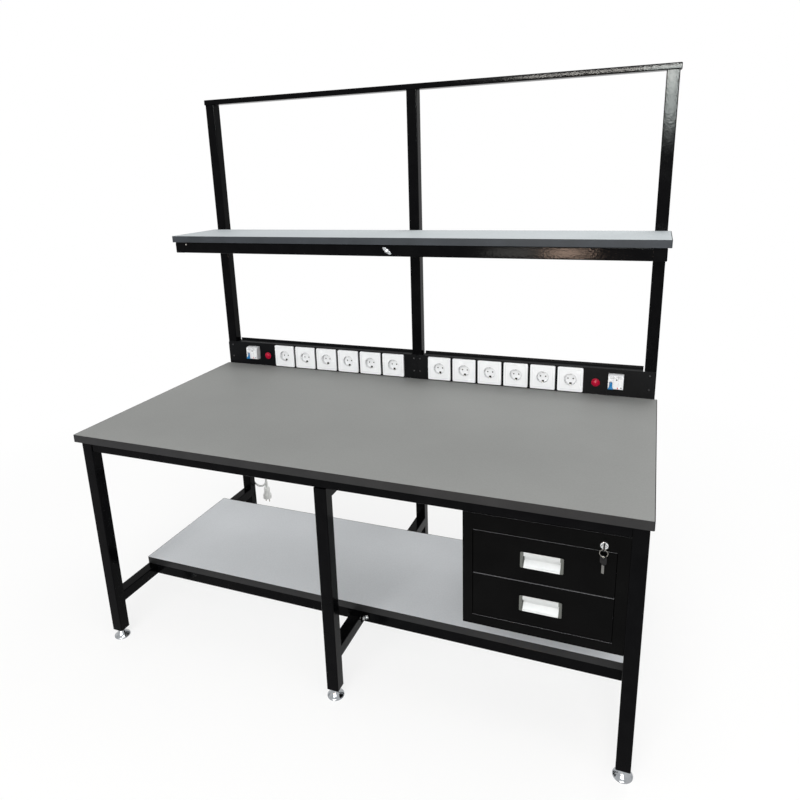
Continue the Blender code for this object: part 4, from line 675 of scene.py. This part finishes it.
for side in (-1, 1):
    spun = Matrix.Rotation(0.0 if side > 0 else math.pi, 4, "Y")
    hole = lathe("hole", [(0.0026, -0.0200), (0.0026, -0.0080), (0.0031, -0.0070)], 20)
    hole.data.transform(Matrix.Translation((side * CONTACT_OFFSET, 0.0, 0.0)) @ forward)
    slot = block("slot", (-0.0045, -0.0010, 0.0150), (0.0045, 0.0120, 0.0260))
    slot.data.transform(spun)
    for tool in (hole, slot):
        changed(well, "BOOLEAN", operation="DIFFERENCE", object=tool)
        bpy.data.objects.remove(tool)
    sleeve = lathe("sleeve", [(0.0026, -0.0097), (0.0026, -0.0082), (0.0020, -0.0080)], 20)
    sleeve.data.transform(Matrix.Translation((side * CONTACT_OFFSET, 0.0, 0.0)) @ forward)
    backing = block("backing", (-0.0045, 0.0088, 0.0150), (0.0045, 0.0097, 0.0222))
    pick(backing, lambda centre, normal: normal.y < -0.9)
    bpy.ops.mesh.bisect(plane_co=(0.0, 0.0, TONGUE_FOOT), plane_no=(0.0, 0.0, 1.0))
    bpy.ops.object.mode_set(mode="OBJECT")
    pick(backing, lambda centre, normal: normal.y < -0.9 and centre.z > TONGUE_FOOT)
    bpy.ops.mesh.extrude_region_move(TRANSFORM_OT_translate={"value": (0.0, -0.0097, 0.0)})
    bpy.ops.object.mode_set(mode="OBJECT")
    backing.data.transform(spun)
    contacts += [sleeve, changed(backing, "BEVEL", width=0.0002, segments=1)]
    rib = block("rib", (0.0194, -0.0034, -0.0026), (0.0216, 0.0074, 0.0026))
    rib.data.transform(spun)
    well = joined([well, changed(rib, "BEVEL", width=0.0008, segments=2, limit_method="ANGLE")], "well")
    clip = block("clip", (-0.0014, 0.0010, 0.0203), (0.0014, 0.0086, 0.0209))
    pick(clip, lambda centre, normal: normal.y < -0.9)
    bpy.ops.mesh.extrude_region_move(TRANSFORM_OT_translate={"value": (0.0, -0.0010, -0.0012)})
    bpy.ops.mesh.extrude_region_move(TRANSFORM_OT_translate={"value": (0.0, -0.0012, 0.0022)})
    bpy.ops.object.mode_set(mode="OBJECT")
    clip.data.transform(spun)
    clips.append(clip)
contacts = joined(contacts, "contacts")
clips = joined(clips, "clips")
for side, first in (("left", -0.6040), ("right", 0.0947)):
    for number in range(6):
        node = "socket_%s_%d" % (side, number + 1)
        shift = (first + number * SOCKET_PITCH, PLATE_REAR, SOCKET_HEIGHT)
        settle(copied(plate, node + "_plate", shift), socket_white, "bench", "white_plastic", node)
        for model, look in ((well, well_painted_shade), (contacts, contact_painted_shade), (clips, nickel)):
            settle(copied(model, node + "_" + model.name, shift), look, "bench", "white_plastic")
for model in (plate, well, contacts, clips):
    bpy.data.objects.remove(model)

# Circuit breakers: one at each end, three moulded modules side by side that stand through the trunk, with a flared
# blue rocker, a black test button, a red state flag and plain printed rules. They are snapped on a rail behind it.

# Breaker plastic: moulded polyamide, white, a little greyer and more matt than the sockets; the rocker and the flag
# are the same plastic dyed blue and red.
breaker_white = finish("moulded_white_polyamide", ("#D3D4D5", "#DBDCDD"), 15.0, (0.34, 0.44), 1.2, 0.02,
                       {"IOR": 1.53})
rocker_blue = finish("moulded_blue_polyamide", ("#0A5F90", "#0E6CA2"), 8.0, (0.30, 0.40), 1.0, 0.02,
                     {"IOR": 1.53, "Specular IOR Level": 0.15})
flag_red = finish("moulded_red_polyamide", ("#C23A3E", "#D04A4C"), 5.0, (0.35, 0.45), 1.0, 0.01, {"IOR": 1.53})
BREAKER_X = 0.758
BREAKER_FACE = 0.3971
ROCKER_SIDE = 0.0165
ROCKER_AXIS = 0.8525
PADDLE_TOP = 0.8470
# Seams between the modules, a state mark and four rules, as (start, stop, bottom, top).
BREAKER_MARKS = ((-0.0089, -0.0085, 0.8340, 0.8870), (0.0085, 0.0089, 0.8340, 0.8870),
                 (0.0170, 0.0205, 0.8405, 0.8450), (-0.0190, -0.0030, 0.8815, 0.8825),
                 (0.0010, 0.0190, 0.8815, 0.8825), (-0.0210, 0.0020, 0.8765, 0.8775),
                 (0.0070, 0.0210, 0.8765, 0.8775))
for side, x in (("left", -BREAKER_X), ("right", BREAKER_X)):
    hinge = (x - ROCKER_SIDE, BREAKER_FACE, ROCKER_AXIS)
    settle(softened(side + "_breaker", side + "_breaker_body", 0.0006), breaker_white, "bench", "white_plastic",
           side + "_breaker")
    rocker = softened(side + "_breaker_toggle", side + "_breaker_rocker", 0.0007, 3)
    bpy.ops.object.mode_set(mode="EDIT")
    bpy.ops.mesh.select_all(action="SELECT")
    bpy.ops.mesh.bisect(plane_co=(0.0, BREAKER_FACE - 0.0007, 0.0), plane_no=(0.0, 1.0, 0.0))
    bpy.ops.mesh.select_mode(type="VERT")
    bpy.ops.mesh.select_all(action="DESELECT")
    shape = bmesh.from_edit_mesh(rocker.data)
    for corner in shape.verts:
        corner.select_set(corner.co.y < BREAKER_FACE - 0.0010)
    bmesh.update_edit_mesh(rocker.data)
    bpy.ops.transform.resize(value=(1.2, 1.0, 1.0), center_override=hinge)
    for corner in shape.verts:
        corner.select_set(corner.select and corner.co.z < PADDLE_TOP)
    bmesh.update_edit_mesh(rocker.data)
    bpy.ops.transform.translate(value=(0.0, -0.0008, -0.0055))
    bpy.ops.transform.resize(value=(1.6, 1.0, 1.0), center_override=hinge)
    bpy.ops.object.mode_set(mode="OBJECT")
    settle(rocker, rocker_blue, side + "_toggle", "blue_plastic", side + "_breaker_toggle")
    button = lathe(side + "_breaker_test", [(0.0024, -0.0010), (0.0024, 0.0008), (0.0019, 0.0013)], 28)
    button.data.transform(Matrix.Translation((x + 0.003, BREAKER_FACE, 0.872)) @ forward)
    settle(button, black_nylon, "bench", "white_plastic")
    flag = block(side + "_breaker_flag", (x + 0.0052, BREAKER_FACE - 0.0004, 0.8385),
                 (x + 0.0088, BREAKER_FACE + 0.0006, 0.8440))
    settle(changed(flag, "BEVEL", width=0.0003, segments=2), flag_red, "bench", "white_plastic")
    marks = [block("mark", (x + start, BREAKER_FACE - 0.0001, bottom), (x + stop, BREAKER_FACE + 0.0004, top))
             for start, stop, bottom, top in BREAKER_MARKS]
    marks = changed(joined(marks, side + "_breaker_marks"), "BEVEL", width=0.00008, segments=1)
    settle(marks, black_nylon, "bench", "white_plastic")

# Pilot lamps: a red dome lens with a collar, screwed into a black nylon bezel beside each breaker. The bezel's
# thread passes through the trunk's front, and a nut holds it from behind.

# Lens: moulded red polycarbonate, clear and glossy, with fine rings inside that catch the light.
lens_red = finish("moulded_red_polycarbonate", ("#980828", "#AA0C30"), 6.0, (0.16, 0.22), 1.5, 0.03,
                  {"IOR": 1.58, "Specular IOR Level": 0.15})
LAMP_X = 0.688
LAMP_HEIGHT = 0.8505
for side, x in (("left", -LAMP_X), ("right", LAMP_X)):
    turned = Matrix.Translation((x, TRUNK_FRONT, LAMP_HEIGHT)) @ forward
    bezel = lathe(side + "_lamp_bezel", [(0.0110, -0.0200), (0.0110, -0.0004), (0.0143, -0.0004), (0.0145, 0.0006),
                                         (0.0145, 0.0030), (0.0140, 0.0038), (0.0130, 0.0040), (0.0124, 0.0036),
                                         (0.0122, 0.0010)], 64)
    bezel.data.transform(turned)
    settle(bezel, black_nylon, "bench", "red_lens", side + "_pilot_lamp")
    lens = lathe(side + "_lamp_lens", [(0.0120, 0.0006), (0.0120, 0.0036), (0.0146, 0.0041), (0.0149, 0.0050),
                                       (0.0147, 0.0062), (0.0136, 0.0070), (0.0121, 0.0071), (0.0115, 0.0076),
                                       (0.0113, 0.0090), (0.0104, 0.0108), (0.0086, 0.0120), (0.0060, 0.0127),
                                       (0.0030, 0.0130), (0.0004, 0.01305)], 64)
    lens.data.transform(turned)
    settle(lens, lens_red, "bench", "red_lens")

# Drawer cabinet: a folded and spot-welded steel case that hangs from the aprons, with a flanged front frame. Two
# pressed-steel drawers run in it on rollers.

# Cabinet coat: the tubes' powder on flat sheet, a little smoother, with a painted highlight: its rounded edges that
# face upward are painted grey, where overhead light would catch them.
cabinet_coat = finish("baked_satin_black_coat", ("#040404", "#070707"), 70.0, (0.12, 0.18), 3.0, 0.008,
                      {"IOR": 1.5, "Specular IOR Level": 0.035})
tree = cabinet_coat.node_tree
shader = tree.nodes["Principled BSDF"]
# Painted highlight: rounded faces that point upward are mixed towards grey, as if catching overhead light.
facing = add(tree, "SeparateXYZ", {0: add(tree, "NewGeometry").outputs["Normal"]})
upward = add(tree, "MapRange", {"Value": facing.outputs["Z"]}, {"From Min": 0.15, "From Max": 0.45})
edge = add(tree, "Attribute", attribute_name="rounded_edge")
painted_highlight_share = add(tree, "Math", {0: edge.outputs["Fac"], 1: upward.outputs[0]}, operation="MULTIPLY")
painted_highlight_mix = add(tree, "Mix", {0: painted_highlight_share.outputs[0], 6: shader.inputs["Base Color"].links[0].from_socket},
           {7: linear("#7A7A7C")}, data_type="RGBA")
tree.links.new(painted_highlight_mix.outputs[2], shader.inputs["Base Color"])
settle(softened("drawer_cabinet", "cabinet_case", 0.0012), cabinet_coat, "bench", "black_powder_coat",
       "drawer_cabinet")
for level in ("upper", "lower"):
    drawer = level + "_drawer"
    settle(softened(drawer, drawer + "_tray", 0.0010), cabinet_coat, drawer, "black_powder_coat", drawer)

# Drawer pulls: flush cups die-cast in zinc, with a hood over the fingers and cheeks at the ends. Each is pushed
# into a hole in its drawer's face and held by clips from behind.

# Satin silver: lacquered zinc, pale and even where it was brushed. Painted shade darkens the cheeks, in a band wider
# than they are, and a little of the hood's front, where the finger recess is shaded.
pull_silver = finish("satin_silver_lacquer", ("#BCBEBE", "#C2C4C4"), 10.0, (0.34, 0.40), 1.5, 0.004,
                     {"Metallic": 0.2, "IOR": 1.5})
tree = pull_silver.node_tree
shader = tree.nodes["Principled BSDF"]
pull_painted_shade = add(tree, "Attribute", attribute_name="pull_painted_shade")
pull_shade_mix = add(tree, "Mix", {0: pull_painted_shade.outputs["Fac"], 6: shader.inputs["Base Color"].links[0].from_socket},
           {7: linear("#4C4E4A")}, data_type="RGBA")
tree.links.new(pull_shade_mix.outputs[2], shader.inputs["Base Color"])
PULL_MIDDLE = 0.6368
PULL_SHADE_START = 0.0468
HOOD_PAINTED_SHADE = 0.22
for level in ("upper", "lower"):
    node = level + "_drawer_handle"
    cup = softened(node, level + "_drawer_pull", 0.0006)
    bpy.ops.object.mode_set(mode="EDIT")
    for side in (-1, 1):
        bpy.ops.mesh.select_all(action="SELECT")
        bpy.ops.mesh.bisect(plane_co=(PULL_MIDDLE + side * PULL_SHADE_START, 0.0, 0.0), plane_no=(1.0, 0.0, 0.0))
    bpy.ops.object.mode_set(mode="OBJECT")
    middle = sum(corner[2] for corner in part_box(node)) / 2
    # Painted shade: faces beyond the shade start are fully darkened, and the hood's front faces partly.
    painted_shade_share = [1.0 if abs(face.center.x - PULL_MIDDLE) > PULL_SHADE_START else
              HOOD_PAINTED_SHADE if face.normal.y < -0.9 and face.center.z > middle else 0.0 for face in cup.data.polygons]
    cup.data.attributes.new("pull_painted_shade", "FLOAT", "FACE").data.foreach_set("value", painted_shade_share)
    settle(cup, pull_silver, level + "_drawer", "silver_pull", node)

# Lock: a turned and plated cam lock, held in the cabinet's top fascia by a nut behind it. Its key is in it, and a
# split ring through the key's bow carries the spare; both keys are stamped steel with a moulded nylon bow.

# Polished chrome: the lock's face, buffed before plating, so it is cleaner than the feet. It is also written whiter,
# as the feet's chrome is painted darker, a painted dim reflection.
lock_chrome = finish("polished_chrome_plate", ("#D6D8DA", "#E6E7E8"), 8.0, (0.05, 0.10), 4.0, 0.008, {"Metallic": 1.0})
settle(softened("lock_barrel", "lock_case", 0.0005), lock_chrome, "bench", "chrome", "lock_barrel")
settle(softened("lock_plug", "lock_core", 0.0003), lock_chrome, "lock_plug", "chrome", "lock_plug")
BOW_REAR = -0.4453
SPARE_BOW_BOTTOM = 0.6608


def half_of(node, name, point, normal):
    """The part of a softened node on the far side of a plane, closed where it was cut."""
    item = softened(node, name, 0.00025)
    bpy.ops.object.mode_set(mode="EDIT")
    bpy.ops.mesh.select_all(action="SELECT")
    bpy.ops.mesh.bisect(plane_co=point, plane_no=normal, use_fill=True, clear_inner=True)
    bpy.ops.object.mode_set(mode="OBJECT")
    return item


# Key steel: stamped and nickel-washed, grey, with fine scratches along the blade.
key_steel = finish("stamped_nickel_washed_steel", ("#6A6A68", "#8A8A87"), 3.0, (0.30, 0.42), 0.8, 0.01,
                   {"Metallic": 1.0})
cut = (0.0, BOW_REAR, 0.0)
settle(half_of("lock_key", "key_bow", cut, (0.0, -1.0, 0.0)), black_nylon, "lock_plug", "black_plastic", "lock_key")
settle(half_of("lock_key", "key_blade", cut, (0.0, 1.0, 0.0)), key_steel, "lock_plug", "nickel")
cut = (0.0, 0.0, SPARE_BOW_BOTTOM)
settle(half_of("spare_key", "spare_bow", cut, (0.0, 0.0, 1.0)), black_nylon, "key_ring", "black_plastic", "spare_key")
settle(half_of("spare_key", "spare_blade", cut, (0.0, 0.0, -1.0)), key_steel, "key_ring", "nickel")
settle(softened("key_ring", "split_ring", 0.0001), nickel, "key_ring", "nickel", "key_ring")

# Wing bolt: a zinc-cast wing head with a pressed domed cap, chromium-plated, on a shank that screws into the front of
# the upper shelf's beam and clamps what hangs there.

# Cast chrome: zinc casting under a thin plate, bright with a soft, slightly pitted skin.
cast_chrome = finish("chrome_plated_zinc_casting", ("#A4A7AA", "#C8CBCE"), 5.0, (0.14, 0.22), 2.0, 0.03,
                     {"Metallic": 1.0})
WING_AXIS = (0.0, 0.1363, 1.3503)
WING_REAR = 0.1450
WING_SPREAD = 1.25
wings = softened("wing_bolt", "wing_bolt_casting", 0.0006, 3)
bpy.ops.object.mode_set(mode="EDIT")
bpy.ops.mesh.select_all(action="SELECT")
bpy.ops.mesh.bisect(plane_co=(0.0, WING_REAR, 0.0), plane_no=(0.0, 1.0, 0.0))
bpy.ops.mesh.select_mode(type="VERT")
bpy.ops.mesh.select_all(action="DESELECT")
shape = bmesh.from_edit_mesh(wings.data)
for corner in shape.verts:
    corner.select_set(corner.co.y < WING_REAR - 0.0005)
bmesh.update_edit_mesh(wings.data)
bpy.ops.transform.resize(value=(WING_SPREAD, 1.0, WING_SPREAD), center_override=WING_AXIS)
bpy.ops.object.mode_set(mode="OBJECT")
settle(wings, cast_chrome, "wing_bolt", "chrome", "wing_bolt")
dome = lathe("wing_bolt_cap", [(0.0068, -0.0010), (0.0068, 0.0006), (0.0062, 0.0018), (0.0048, 0.0028),
                               (0.0026, 0.0034), (0.0004, 0.0036)], 40)
dome.data.transform(Matrix.Translation(WING_AXIS) @ forward)
settle(dome, lock_chrome, "wing_bolt", "chrome")
